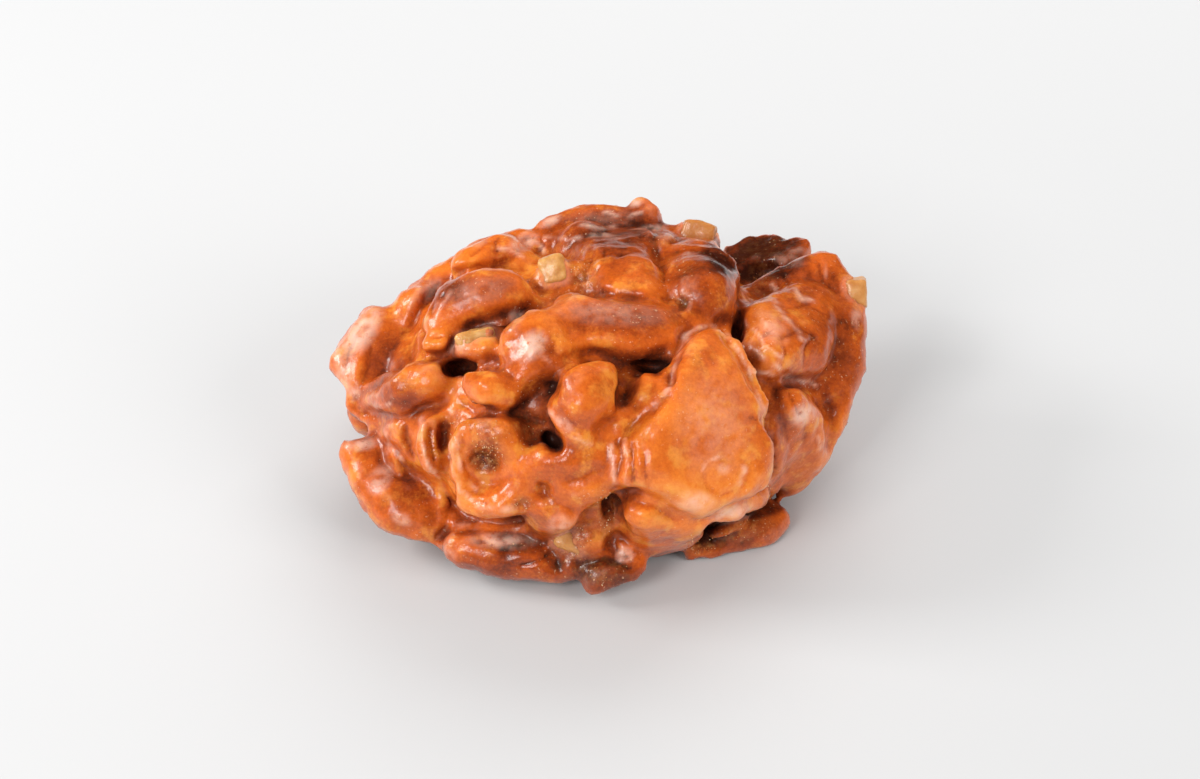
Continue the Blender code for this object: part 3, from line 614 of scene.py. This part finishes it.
def glaze_and_highlight_strings():
    """Thin raised strings of milky glaze, as the places that each runs through; most lie along highlight
    streaks, and their pale colour is partly painted highlight.
    """
    return {
        "ridge_strand": [(-30.0, 13.2), (-34.5, 9.6), (-39.0, 6.2)],
        "saddle_streak": [(-18.5, 12.5), (-15.0, 9.3), (-12.0, 6.3)],
        "plate_1": [(-4.5, 39.2), (0.5, 38.4), (6.0, 39.3), (11.0, 38.4)],
        "plate_2": [(-13.0, 36.4), (-7.0, 36.0), (-1.0, 36.9), (5.0, 36.4)],
        "plate_3": [(1.0, 42.2), (6.0, 41.4), (10.0, 42.0)],
        "brow_1": [(-21.5, 36.4), (-18.5, 34.4), (-15.5, 35.4), (-13.5, 33.0)],
        "brow_2": [(-24.0, 33.8), (-21.0, 33.0), (-18.5, 31.6)],
        "nub_foot": [(12.0, 39.0), (14.0, 37.2), (16.8, 36.4)],
        "lobe_1": [(34.8, 16.0), (38.0, 13.0), (40.0, 9.6), (44.0, 7.4)],
        "lobe_2": [(38.0, 17.2), (41.0, 13.6), (43.0, 12.8)],
        "lobe_3": [(42.0, 19.4), (46.0, 15.6), (48.6, 12.0)],
        "lobe_4": [(36.0, 10.4), (39.0, 7.6), (43.0, 5.2)],
        "lobe_5": [(41.0, 25.2), (42.6, 23.0), (41.4, 21.4), (44.0, 20.0)],
        "lobe_6": [(46.5, 24.0), (48.0, 21.6), (51.0, 21.0)],
        "lobe_fold": [(36.0, 4.9), (41.0, 3.4), (46.0, 3.2), (51.4, 1.3)],
        "flap_edge": [
            (21.0, 13.0), (23.0, 14.6), (26.5, 15.2), (30.5, 13.0), (34.2, 7.5), (37.2, 0.0), (39.4, -6.0),
        ],
        "flap_left": [(20.4, 12.0), (18.0, 6.0), (16.4, 0.0), (12.4, -4.8)],
        "middle_1": [(2.5, -13.0), (3.2, -18.0), (3.5, -23.0)],
        "middle_2": [(6.0, -12.5), (6.2, -18.0), (6.6, -23.0)],
        "fold_streak": [(52.3, -11.5), (53.0, -16.0), (52.2, -19.5)],
        "loop_edge": [(36.0, -39.8), (43.0, -36.2), (46.6, -30.0)],
        "rod_streak": [(-42.6, -7.0), (-43.0, -12.0), (-41.5, -17.0), (-38.8, -21.0)],
        "curl_1": [(-35.2, -13.0), (-35.8, -18.0), (-33.6, -24.0), (-29.0, -28.0), (-23.5, -28.6)],
        "curl_2": [(-34.0, -10.5), (-34.4, -15.0), (-33.0, -20.0), (-30.0, -24.0)],
        "button_rim": [(-12.0, -5.0), (-9.6, -8.6), (-6.0, -11.6), (-2.5, -13.2)],
        "web": [(-51.0, -10.0), (-50.5, -13.5), (-47.5, -16.5)],
        "cushion_ring": ring(-52.6, -2.6, 3.0, 1.4),
        "bump_top": [(24.6, -19.8), (25.2, -17.4), (28.0, -15.8), (30.6, -15.6)],
        "bump_side": [(34.3, -17.4), (34.6, -19.5), (33.2, -22.6)],
        "bead_ring": ring(6.0, -39.6, 1.6, 1.4),
    }


def ring(right, up, half_width, half_height):
    """Places on most of an egg-shaped ring."""
    turns = [math.radians(start) for start in range(100, 390, 24)]
    return [(right + half_width * math.cos(turn), up + half_height * math.sin(turn)) for turn in turns]


def strength_of(spots, places):
    """The strongest of some spots at each place."""
    strongest = np.zeros(len(places))
    for *shape, strength in spots.values():
        strongest = np.maximum(strongest, in_spot(places, *shape) * strength)
    return strongest


# The crust

def mesh_object(name, mesh):
    obj = bpy.data.objects.new(name, mesh)
    bpy.context.scene.collection.objects.link(obj)
    return obj


def apply_modifiers(obj):
    graph = bpy.context.evaluated_depsgraph_get()
    mesh = bpy.data.meshes.new_from_object(obj.evaluated_get(graph))
    obj.modifiers.clear()
    obj.data = mesh


def remesh_evenly(obj, voxel, smoothing):
    """Gives an object small even faces, and softens its edges by so many passes."""
    even = obj.modifiers.new("even", "REMESH")
    even.mode = "VOXEL"
    even.voxel_size = voxel * MM
    soften = obj.modifiers.new("soften", "SMOOTH")
    soften.factor = 0.5
    soften.iterations = smoothing
    apply_modifiers(obj)


def welded_copy(node, grow):
    """A copy of a node's mesh in one skin, grown outwards by so many millimetres."""
    bm = bmesh.new()
    bm.from_mesh(node.data)
    bmesh.ops.remove_doubles(bm, verts=bm.verts, dist=0.01 * MM)
    bm.normal_update()
    for v in bm.verts:
        v.co += v.normal * grow * MM
    return bm


def add_web(bm):
    """Low in the slot beside the loop at the front, a web of dough joins the loop to the lip above it."""
    web = bmesh.ops.create_icosphere(bm, subdivisions=3, radius=1)["verts"]
    for v in web:
        v.co = Vector((np.array(v.co) * WEB_SIZE + WEB_PLACE) * MM)


def dense_crust(dough, apples):
    """The dough with its pockets closed round the pieces of apple, in small even faces."""
    whole = bpy.data.meshes.new("crust")
    joined = welded_copy(dough, 0)
    for apple in apples:
        piece = welded_copy(apple, -APPLE_SHRINK)
        lump = bpy.data.meshes.new("lump")
        piece.to_mesh(lump)
        piece.free()
        joined.from_mesh(lump)
        bpy.data.meshes.remove(lump)
    add_web(joined)
    joined.to_mesh(whole)
    joined.free()
    obj = mesh_object("crust", whole)
    remesh_evenly(obj, CRUST_VOXEL, CRUST_SMOOTHING)
    return obj


def fill_pits(skin):
    """Draws up pits on the front that are too deep in the part's solid, but leaves the foot as it stands."""
    near = sight_axes()[2]
    on_front = smooth_step(*PIT_DEPTHS, (skin.points - SIGHT_CENTRE) @ near)
    over_foot = smooth_step(*FOOT_HEIGHTS, skin.points[:, 2])
    share = strength_of(shallow_pits(), seen_places(skin.points)) * on_front * over_foot
    skin.push(skin.averaged(skin.points, PIT_SMOOTHING) - skin.points, share)


def depth_of_lines(places):
    """How deep the valleys and wrinkles are at each seen place, with a low shoulder beside each."""
    depth = np.zeros(len(places))
    lines = [(VALLEY_HALF_WIDTH, VALLEY_DEPTH, line) for line in valleys().values()]
    for half_width, deep, line in lines + list(wrinkles().values()):
        away, share = distance_to_line(places, line)
        taper = np.minimum(1, LINE_END_SLOPE * np.minimum(share, 1 - share) + LINE_END_DEPTH)
        valley = np.clip(1 - away / (half_width * VALLEY_SPREAD), 0, 1) ** VALLEY_FALL
        shoulder = np.clip(1 - np.abs(away / half_width - SHOULDER_PLACE), 0, 1) ** 2
        depth += (valley - shoulder * SHOULDER_HEIGHT) * deep * taper
    return depth


def carve_front(skin):
    """The valleys, wrinkles and swells that show on the front. Says how far each point faces the eye."""
    near = sight_axes()[2]
    facing = np.clip(skin.normals @ near, 0, 1) ** 0.5 * skin.in_sight(skin.tree())
    places = seen_places(skin.points) + wander(skin.points, *LINE_WANDER, (1, 2))
    way = -skin.normals * (1 - FROM_EYE_SHARE) - near * FROM_EYE_SHARE
    skin.push(way, depth_of_lines(places) * facing)
    places = seen_places(skin.points)
    height = np.zeros(len(places))
    for *shape, tall in swells().values():
        height += in_spot(places, *shape) * tall
    skin.push(skin.normals, height * facing)
    return facing


def hidden_share(facing):
    """0 where the skin faces the eye, and 1 where it turns away or is hidden."""
    return 1 - np.clip(facing * 2, 0, 1)


def roughen(skin, facing):
    """The uneven skin all over: swells, folds, ripples and grit. Says how calm and how bare each point is."""
    places = seen_places(skin.points)
    hidden = hidden_share(facing)
    calm = strength_of(smooth_spots(), places) * facing
    bare = strength_of(rough_spots(), places) * facing
    bare = np.maximum(bare, patches_at(skin.points, *BARE_PATCHES, SEED + 3) * hidden)
    points = skin.points + wander(skin.points, *FOLD_WANDER, (4, 5, 6))
    swell = noise_at(points, SWELL_SIZE, SEED + 7) * SWELL_HEIGHT
    swell *= (1 - SWELLS_CALMED * calm) * (SWELLS_ON_FRONT + (1 - SWELLS_ON_FRONT) * hidden)
    folds = folds_at(points, FOLD_SIZE, SEED + 8) * FOLD_HEIGHT
    folds += folds_at(points, CREASE_SIZE, SEED + 9) * CREASE_HEIGHT
    wild = (1 - FOLDS_CALMED * calm) * (FOLDS_ON_FRONT + (1 - FOLDS_ON_FRONT) * hidden)
    skin.push(skin.normals, swell + (folds - FOLD_MIDDLE) * wild)
    ripples = noise_at(skin.points, RIPPLE_SIZE, SEED + 14)
    skin.push(skin.normals, ripples * RIPPLE_HEIGHT * (1 - RIPPLES_CALMED * calm))
    grit = noise_at(points, GRIT_SIZE, SEED + 10) * (1 - FINE_GRIT_SHARE)
    grit += noise_at(points, FINE_GRIT_SIZE, SEED + 11) * FINE_GRIT_SHARE
    skin.push(skin.normals, grit * (GRIT_HEIGHT + BARE_GRIT_HEIGHT * bare))
    return calm, bare


def pour_glaze_and_highlights(skin, facing):
    """Raises the milky glaze a little, and says how milky it is at each point, with the painted highlights
    and sheen that share its pale colour.
    """
    places = seen_places(skin.points)
    drift = wander(skin.points, *STRING_WANDER, (15, 16))
    threads = np.zeros(len(places))
    for line in glaze_and_highlight_strings().values():
        away = distance_to_line(places + drift, line)[0]
        threads = np.maximum(threads, np.clip(1 - away / STRING_REACH, 0, 1) ** STRING_FALL)
    threads *= patches_at(skin.points, *STRING_PATCHES, SEED + 17)
    pools_and_sheen = strength_of(milky_and_sheen_spots(), places) * patches_at(skin.points, *POOL_PATCHES, SEED + 18)
    front = np.maximum(threads * STRING_MILK_AND_HIGHLIGHT, pools_and_sheen) * facing
    ridges = smooth_step(*RIDGE_STEP, -skin.hollowness(RIDGE_REACH))
    ridges *= patches_at(skin.points, *RIDGE_PATCHES, SEED + 19)
    # Painted highlight: ridges facing the left, towards the lamps there, get more of the pale colour; hidden
    # ridges get more milky glaze.
    painted_left_highlight = smooth_step(*LEFT_HIGHLIGHT_STEP, skin.normals @ LEFT_HIGHLIGHT_WAY)
    share = RIDGE_MILK + MORE_RIDGE_MILK_AND_HIGHLIGHT * np.maximum(hidden_share(facing), painted_left_highlight)
    milky = np.maximum(front, ridges * share)
    skin.push(skin.normals, threads * facing * STRING_HEIGHT + milky * MILK_HEIGHT)
    return np.clip(milky, 0, 1)


def hug_apples(skin, apples):
    """Draws the glaze up a little round each piece of apple, and says how near it each point is."""
    rise = np.zeros(len(skin.points))
    for apple in apples:
        bm = welded_copy(apple, 0)
        tree = BVHTree.FromBMesh(bm)
        low, high = (np.array(corner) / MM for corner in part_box(apple.name))
        close = np.all((skin.points > low - HUG_MARGIN) & (skin.points < high + HUG_MARGIN), axis=1)
        for i in np.flatnonzero(close):
            away = tree.find_nearest(Vector(skin.points[i] * MM))[3] / MM
            rise[i] = max(rise[i], 1 - away / HUG_REACH)
        bm.free()
    uneven = 1 + HUG_UNEVEN * noise_at(skin.points, HUG_NOISE_SIZE, SEED + 40)
    skin.push(skin.normals, rise ** 2 * HUG_HEIGHT * uneven)
    return rise


def make_crust(dough, apples):
    """The glazed dough as one piece, with what its material reads kept at each point."""
    obj = dense_crust(dough, apples)
    skin = Skin(obj)
    fill_pits(skin)
    skin.push(skin.normals, -SHARPEN * skin.hollowness(SHARPEN_REACH))
    facing = carve_front(skin)
    calm, bare = roughen(skin, facing)
    milky = pour_glaze_and_highlights(skin, facing)
    rim = hug_apples(skin, apples)
    open_sky = skin.openness(skin.tree())
    skin.attribute("open_sky", open_sky)
    for name, (passes, share_per_mm) in {"hollow": HOLLOW, "wide_hollow": WIDE_HOLLOW}.items():
        skin.attribute(name, np.clip(skin.hollowness(passes) * share_per_mm + 0.5, 0, 1))
    skin.attribute("bare", bare)
    skin.attribute("calm", calm)
    skin.attribute("milky", np.maximum(milky, RIM_MILK * smooth_step(*RIM_STEP, rim)))
    skin.attribute("fried", fried_and_shaded_tone(skin, facing))
    obj.data.shade_smooth()
    obj.data.materials.clear()
    obj.data.materials.append(crust_material())
    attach(obj, "root")
    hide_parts(dough.name)
    make_grains(skin, bare * open_sky, dough)


def make_grains(skin, bare, dough):
    """Sugar grains and crumbs that stick in the bare, rough spots, as one mesh."""
    rng = np.random.default_rng(SEED)
    chance = np.clip(bare - GRAIN_BARENESS, 0, 1)
    chosen = rng.choice(len(chance), GRAINS, replace=False, p=chance / chance.sum())
    bm = bmesh.new()
    for i in chosen:
        size = rng.uniform(*GRAIN_SIZES) / 2
        turn = Quaternion(rng.normal(size=4)).normalized().to_matrix()
        place = Vector(skin.points[i] + skin.normals[i] * size * GRAIN_LIFT)
        grain = bmesh.ops.create_icosphere(bm, subdivisions=1, radius=1)["verts"]
        stretch = Matrix.Diagonal(rng.uniform(*GRAIN_STRETCH, 3))
        for v in grain:
            v.co = (place + turn @ stretch @ v.co * size) * MM
    mesh = bpy.data.meshes.new("sugar_grains")
    bm.to_mesh(mesh)
    bm.free()
    mesh.materials.append(grain_material())
    grains = mesh_object("sugar_grains", mesh)
    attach(grains, "root")
    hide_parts(dough.name)


def fried_and_shaded_tone(skin, facing):
    """How dark the dough is, from 0, golden, to 1, deep brown: fried tone, darker towards the bottom and
    where hidden, and painted shade at the back crag.
    """
    places = seen_places(skin.points)
    tone = BASE_TONE + BROAD_TONE * noise_at(skin.points, BROAD_TONE_SIZE, SEED + 12)
    tone += FINE_TONE * noise_at(skin.points, FINE_TONE_SIZE, SEED + 13)
    # Darker towards the bottom, and darker where the skin is hidden from the front.
    tone += smooth_step(*LOW_HEIGHTS, skin.points[:, 2]) * LOW_TONE + hidden_share(facing) * HIDDEN_TONE
    for *shape, darker in tones().values():
        tone += in_spot(places, *shape) * darker * np.clip(facing * 1.5, 0, 1)
    return np.clip(tone, 0, 1)


def tones():
    """Where the front is fried darker, or lighter, and at the back crag also painted darker for the shade in
    its gap: right, up, half width, half height, turn, by how much.
    """
    return {
        "flap": (25.0, -6.0, 16.0, 22.0, 0, -0.06),
        "flap_low": (23.0, -26.0, 20.0, 12.0, 10, -0.26),
        "curl": (-30.0, -21.0, 9.0, 12.0, 10, -0.17),
        "cheek": (-27.0, -1.5, 6.0, 5.0, 0, -0.12),
        "button": (-4.0, -1.0, 11.0, 10.0, 0, 0.1),
        "saddle": (5.0, 17.0, 20.0, 7.0, 0, 0.36),
        "fore": (5.0, 28.0, 12.0, 10.0, 0, 0.14),
        "right_lobe": (56.0, 12.0, 12.0, 24.0, 0, 0.26),
        "right_fold": (47.0, -10.0, 12.0, 16.0, 0, 0.06),
        "ball": (26.0, 25.0, 14.0, 14.0, 0, 0.38),
        # Painted shade: the crag is fried dark, and its gap is painted darker still where shade falls.
        "back_crag": (38.0, 34.0, 15.0, 9.5, 0, 1.3),
        "crown": (2.0, 38.0, 24.0, 10.0, 0, 0.44),
        "front_foot": (-20.0, -42.0, 24.0, 9.0, 0, 0.33),
        "tip": (2.0, -45.0, 14.0, 8.0, 0, 0.42),
        "foot": (-50.0, -24.0, 14.0, 14.0, 0, 0.18),
        "mess": (-8.0, -31.0, 10.0, 9.0, 0, 0.12),
        "middle": (-8.0, -18.0, 10.0, 8.0, 0, 0.22),
        "cushion": (-48.0, -1.0, 10.0, 6.0, 0, 0.38),
        "wing_in": (-51.0, 8.0, 6.0, 9.0, -20, 0.34),
        "pillow_top": (-29.0, 24.0, 13.0, 6.0, 10, 0.4),
        "pillow_low": (-24.0, 16.0, 6.0, 4.0, 30, 0.3),
        "curl_heart": (-25.0, -10.5, 9.0, 5.0, -10, 0.2),
        "curl_pit": (-27.5, -16.5, 6.0, 5.5, 0, 0.5),
        "loop": (34.0, -34.0, 14.0, 8.0, 0, 0.12),
        "lobe_head": (46.0, 26.0, 12.0, 9.0, 0, 0.34),
        "lobe_face": (43.0, 13.0, 9.0, 8.0, 0, 0.14),
        "curl_arm": (-34.0, -22.0, 6.0, 10.0, 10, -0.1),
        "shoulder": (-39.0, 23.0, 8.0, 6.0, 40, 0.33),
        "knee": (-15.0, 10.0, 8.0, 8.0, 0, 0.2),
        "corner": (-25.0, 33.0, 9.0, 5.0, 0, 0.15),
        "foot_front": (-52.0, -21.0, 8.0, 8.0, 0, -0.08),
    }


# Materials

class Shader:
    """A material's nodes, with short calls to add and join them."""

    def __init__(self, name):
        self.material = bpy.data.materials.new(name)
        self.material.use_nodes = True
        self.tree = self.material.node_tree
        self.main = self.tree.nodes["Principled BSDF"]

    def set(self, **values):
        for name, value in values.items():
            self.main.inputs[name.replace("_", " ")].default_value = value

    def node(self, kind, inputs=(), **settings):
        made = self.tree.nodes.new(kind)
        for name, value in settings.items():
            setattr(made, name, value)
        for name, value in dict(inputs).items():
            self.feed(made.inputs[name], value)
        return made

    def feed(self, socket, value):
        if isinstance(value, bpy.types.NodeSocket):
            self.tree.links.new(value, socket)
        else:
            socket.default_value = value

    def attribute(self, name):
        return self.node("ShaderNodeAttribute", attribute_name=name).outputs["Fac"]

    def math(self, operation, *values, clamp=False):
        made = self.node("ShaderNodeMath", operation=operation, use_clamp=clamp)
        for socket, value in zip(made.inputs, values):
            self.feed(socket, value)
        return made.outputs[0]

    def step(self, low, high, value):
        made = self.node("ShaderNodeMapRange", {"Value": value, "From Min": low, "From Max": high})
        made.interpolation_type = "SMOOTHSTEP"
        return made.outputs["Result"]

    def swing(self, value, width):
        """A value from 0 to 1, moved to lie about zero and made this wide."""
        return self.math("MULTIPLY_ADD", value, width, -width / 2)

    def noise(self, size_mm, detail=2.0, roughness=0.5):
        place = self.node("ShaderNodeTexCoord").outputs["Object"]
        inputs = {"Vector": place, "Scale": 1 / (size_mm * MM), "Detail": detail, "Roughness": roughness}
        return self.node("ShaderNodeTexNoise", inputs).outputs["Fac"]

    def mix(self, share, first, second):
        made = self.node("ShaderNodeMix", data_type="RGBA")
        self.feed(made.inputs["Factor"], share)
        self.feed(made.inputs[6], first)
        self.feed(made.inputs[7], second)
        return made.outputs[2]

    def ramp(self, value, stops):
        made = self.node("ShaderNodeValToRGB", {"Fac": value})
        elements = made.color_ramp.elements
        while len(elements) < len(stops):
            elements.new(0.5)
        for element, (place, colour) in zip(elements, stops):
            element.position = place
            element.color = (*colour, 1)
        return made.outputs["Color"]

    def bump(self, height, strength, distance_mm, normal=None):
        inputs = {"Height": height, "Strength": strength, "Distance": distance_mm * MM}
        if normal:
            inputs["Normal"] = normal
        return self.node("ShaderNodeBump", inputs).outputs["Normal"]


def crust_colour(s, open_sky, bare, calm):
    """Golden to deep brown by how dark it is fried, with painted shade in the depths and valleys and painted
    light on swells, and milky under pooled glaze and under painted highlights and sheen.
    """
    # Painted shade: darker where little sky is open, in gaps and deep recesses, and in narrow valleys;
    # painted light: lighter on broad swells.
    deep = s.math("MULTIPLY", s.step(0.80, 0.10, open_sky), 0.38)
    valley_shade = s.math("MULTIPLY", s.step(0.5, 0.9, s.attribute("hollow")), 0.14)
    swell_light = s.math("MULTIPLY", s.step(0.5, 0.15, s.attribute("wide_hollow")), 0.10)
    mottle = s.swing(s.noise(3.0, 4.0, 0.6), 0.36)
    patches = s.swing(s.noise(11.0, 3.0), 0.34)
    speckle = s.swing(s.noise(0.8, 2.0, 0.7), 0.36)
    tone = s.math("ADD", s.math("ADD", s.attribute("fried"), speckle), s.math("ADD", mottle, patches))
    tone = s.math("SUBTRACT", s.math("ADD", tone, valley_shade), swell_light)
    tone = s.math("ADD", tone, deep, clamp=True)
    colour = s.ramp(tone, (
        (0.0, (0.82, 0.27, 0.040)),
        (0.22, (0.74, 0.180, 0.018)),
        (0.45, (0.56, 0.100, 0.008)),
        (0.68, (0.32, 0.048, 0.005)),
        (0.86, (0.15, 0.022, 0.004)),
        (1.0, (0.045, 0.008, 0.003)),
    ))
    golden = s.math("MULTIPLY", s.step(0.50, 0.68, s.noise(5.0, 3.0, 0.6)), s.step(0.75, 0.35, tone))
    golden = s.math("MULTIPLY", golden, s.math("MULTIPLY_ADD", calm, -0.22, 0.42))
    colour = s.mix(golden, colour, GOLDEN_PATCH)
    # Milky glaze, and painted highlights and sheen, mixed in as one pale colour.
    milk_and_highlight_mix = s.math("MULTIPLY", s.attribute("milky"), s.step(0.12, 0.52, s.noise(1.3, 3.0, 0.6)))
    colour = s.mix(s.math("MULTIPLY", milk_and_highlight_mix, 0.95, clamp=True), colour, MILKY_GLAZE_AND_HIGHLIGHT)
    crumb = s.ramp(s.noise(1.5, 3.0, 0.65), (
        (0.36, (0.10, 0.022, 0.007)),
        (0.50, (0.36, 0.095, 0.020)),
        (0.62, (0.66, 0.26, 0.07)),
    ))
    crumbly = s.math("MULTIPLY", bare, s.step(0.15, 0.6, open_sky))
    colour = s.mix(s.math("MULTIPLY", crumbly, 0.6), colour, crumb)
    dust_patches = s.step(0.42, 0.62, s.noise(9.0, 2.0))
    dust = s.math("MULTIPLY", s.step(0.66, 0.76, s.noise(0.75, 1.0)), dust_patches)
    return s.mix(s.math("MULTIPLY", dust, 0.35), colour, SUGAR_DUST)


def crust_relief(s, bare):
    """Pores, grains and ripples, finer than the mesh."""
    pores = s.bump(s.noise(0.5, 2.0), 0.12, 0.35)
    grains = s.bump(s.noise(1.1, 3.0, 0.65), s.math("MULTIPLY_ADD", bare, 0.8, 0.10), 0.7, pores)
    return s.bump(s.noise(2.8, 2.0), 0.20, 0.8, grains)


def crust_material():
    """Fried dough under a thin clear sugar glaze, duller where it is stretched, bare or in shade."""
    s = Shader("fried_dough_glazed")
    open_sky = s.attribute("open_sky")
    bare = s.attribute("bare")
    calm = s.attribute("calm")
    s.feed(s.main.inputs["Base Color"], crust_colour(s, open_sky, bare, calm))
    shaded = s.step(0.65, 0.15, open_sky)
    rough = s.math("MULTIPLY_ADD", s.noise(2.2, 3.0), 0.24, 0.24)
    s.feed(s.main.inputs["Roughness"], s.math("MULTIPLY_ADD", shaded, 0.4, rough))
    coat = s.math("MULTIPLY_ADD", bare, -0.5, s.math("MULTIPLY_ADD", calm, -0.45, 0.85))
    s.feed(s.main.inputs["Coat Weight"], s.math("MULTIPLY_ADD", shaded, -0.7, coat, clamp=True))
    s.set(Coat_Roughness=0.17, Coat_IOR=1.38, Specular_IOR_Level=0.2)
    s.set(Subsurface_Weight=0.14, Subsurface_Scale=1.5 * MM, Subsurface_Radius=(1.0, 0.32, 0.10))
    s.feed(s.main.inputs["Normal"], crust_relief(s, bare))
    s.feed(s.main.inputs["Coat Normal"], s.bump(s.noise(2.4, 3.0, 0.55), 0.30, 0.8))
    return s.material


def grain_material():
    """A grain of sugar or a crumb, honey-coloured and moist."""
    s = Shader("sugar_grain")
    s.feed(s.main.inputs["Base Color"], s.ramp(s.noise(4.0, 1.0), (
        (0.38, (0.50, 0.20, 0.06)),
        (0.62, (0.80, 0.52, 0.30)),
    )))
    s.set(Roughness=0.22, Coat_Weight=0.4, Coat_Roughness=0.08)
    s.set(Subsurface_Weight=0.3, Subsurface_Scale=0.5 * MM)
    return s.material


def apple_material():
    """Cooked apple: pale, moist and a little see-through, browned at its edges."""
    s = Shader("cooked_apple")
    colour = s.ramp(s.noise(2.6, 3.0, 0.6), (
        (0.30, (0.52, 0.22, 0.05)),
        (0.52, (0.66, 0.34, 0.10)),
        (0.70, (0.76, 0.46, 0.18)),
    ))
    s.feed(s.main.inputs["Base Color"], s.mix(s.attribute("browned"), colour, BROWNED_APPLE))
    s.set(Roughness=0.38, Coat_Weight=0.35, Coat_Roughness=0.15)
    s.set(Subsurface_Weight=0.35, Subsurface_Scale=2.0 * MM, Subsurface_Radius=(1.0, 0.6, 0.25))
    s.feed(s.main.inputs["Normal"], s.bump(s.noise(0.7, 3.0, 0.6), 0.35, 0.5))
    return s.material


def floor_material():
    s = Shader("pale_floor")
    s.set(Base_Color=FLOOR_GREY, Roughness=0.7)
    return s.material


# The pieces of apple

def make_apple(node, dough_tree, material, seed):
    """A piece of apple in fine faces, with worn corners, some fibre, and browned where it meets the dough."""
    bm = welded_copy(node, APPLE_GROW)
    mesh = bpy.data.meshes.new(node.name)
    bm.to_mesh(mesh)
    bm.free()
    obj = mesh_object("flesh_" + node.name.removeprefix("apple_"), mesh)
    remesh_evenly(obj, APPLE_VOXEL, APPLE_SMOOTHING)
    skin = Skin(obj)
    wear = noise_at(skin.points, WEAR_SIZE, seed) * WEAR_DEPTH + WEAR_MIDDLE
    wear += noise_at(skin.points, FIBRE_SIZE, seed + 1) * FIBRE_DEPTH
    skin.push(skin.normals, wear)
    near_dough = np.array([dough_tree.find_nearest(Vector(point))[3] for point in skin.points])
    browned = smooth_step(*BROWN_REACH, near_dough) * BROWN_EDGE
    browned += BROWN_SPOTS * noise_at(skin.points, BROWN_SPOT_SIZE, seed + 2)
    browned += APPLE_BROWN.get(node.name, PLAIN_APPLE_BROWN)
    skin.attribute("browned", np.clip(browned, 0, 1))
    obj.data.shade_smooth()
    obj.data.materials.clear()
    obj.data.materials.append(material)
    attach(obj, "root")
    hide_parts(node.name)


# The studio

def area_light(name, place, size, power, gloss=True):
    """A soft lamp that faces the fritter: place and size in metres, power in watts."""
    light = bpy.data.lights.new(name, "AREA")
    light.shape = "RECTANGLE"
    light.size, light.size_y = size
    light.energy = power
    obj = bpy.data.objects.new(name, light)
    obj.visible_glossy = gloss
    obj.location = place
    obj.rotation_euler = (Vector(SIGHT_CENTRE * MM) - Vector(place)).to_track_quat("-Z", "Y").to_euler()
    bpy.context.scene.collection.objects.link(obj)


def studio():
    """A pale floor, four soft lamps, and a sky that lights the fritter but isn't mirrored in its glaze."""
    bm = bmesh.new()
    bmesh.ops.create_grid(bm, x_segments=1, y_segments=1, size=FLOOR_HALF_SIZE)
    mesh = bpy.data.meshes.new("floor")
    bm.to_mesh(mesh)
    bm.free()
    mesh.materials.append(floor_material())
    floor = mesh_object("floor", mesh)
    area_light("key_front_left", (-0.95, -1.30, 1.10), (0.75, 0.75), 21.0)
    area_light("softbox_back", (0.22, 0.62, 0.62), (0.8, 0.5), 5.2, gloss=False)
    area_light("softbox_left", (-0.80, 0.06, 0.50), (0.36, 0.28), 5.2)
    area_light("fill_right", (1.30, -0.85, 0.90), (1.0, 0.8), 14.5, gloss=False)
    world = bpy.data.worlds.new("studio")
    world.use_nodes = True
    sky = world.node_tree.nodes["Background"]
    sky.inputs["Color"].default_value = WHITE
    sky.inputs["Strength"].default_value = SKY_STRENGTH
    bpy.context.scene.world = world
    world.cycles_visibility.glossy = False
    bpy.context.scene.view_settings.view_transform = "Standard"


def camera():
    data = bpy.data.cameras.new("camera")
    data.lens = LENS
    data.sensor_width = SENSOR
    obj = bpy.data.objects.new("camera", data)
    obj.location = eye() * MM
    obj.rotation_euler = Vector(-sight_axes()[2]).to_track_quat("-Z", "Y").to_euler()
    bpy.context.scene.collection.objects.link(obj)
    bpy.context.scene.camera = obj


dough_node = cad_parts["dough"]
apple_nodes = [node for name, node in sorted(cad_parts.items()) if name.startswith("apple_")]
camera()
studio()
make_crust(dough_node, apple_nodes)
dough_tree = Skin(dough_node).tree()
apple_finish = apple_material()
for number, apple_node in enumerate(apple_nodes):
    make_apple(apple_node, dough_tree, apple_finish, SEED + APPLE_SEEDS_FROM + SEEDS_PER_APPLE * number)
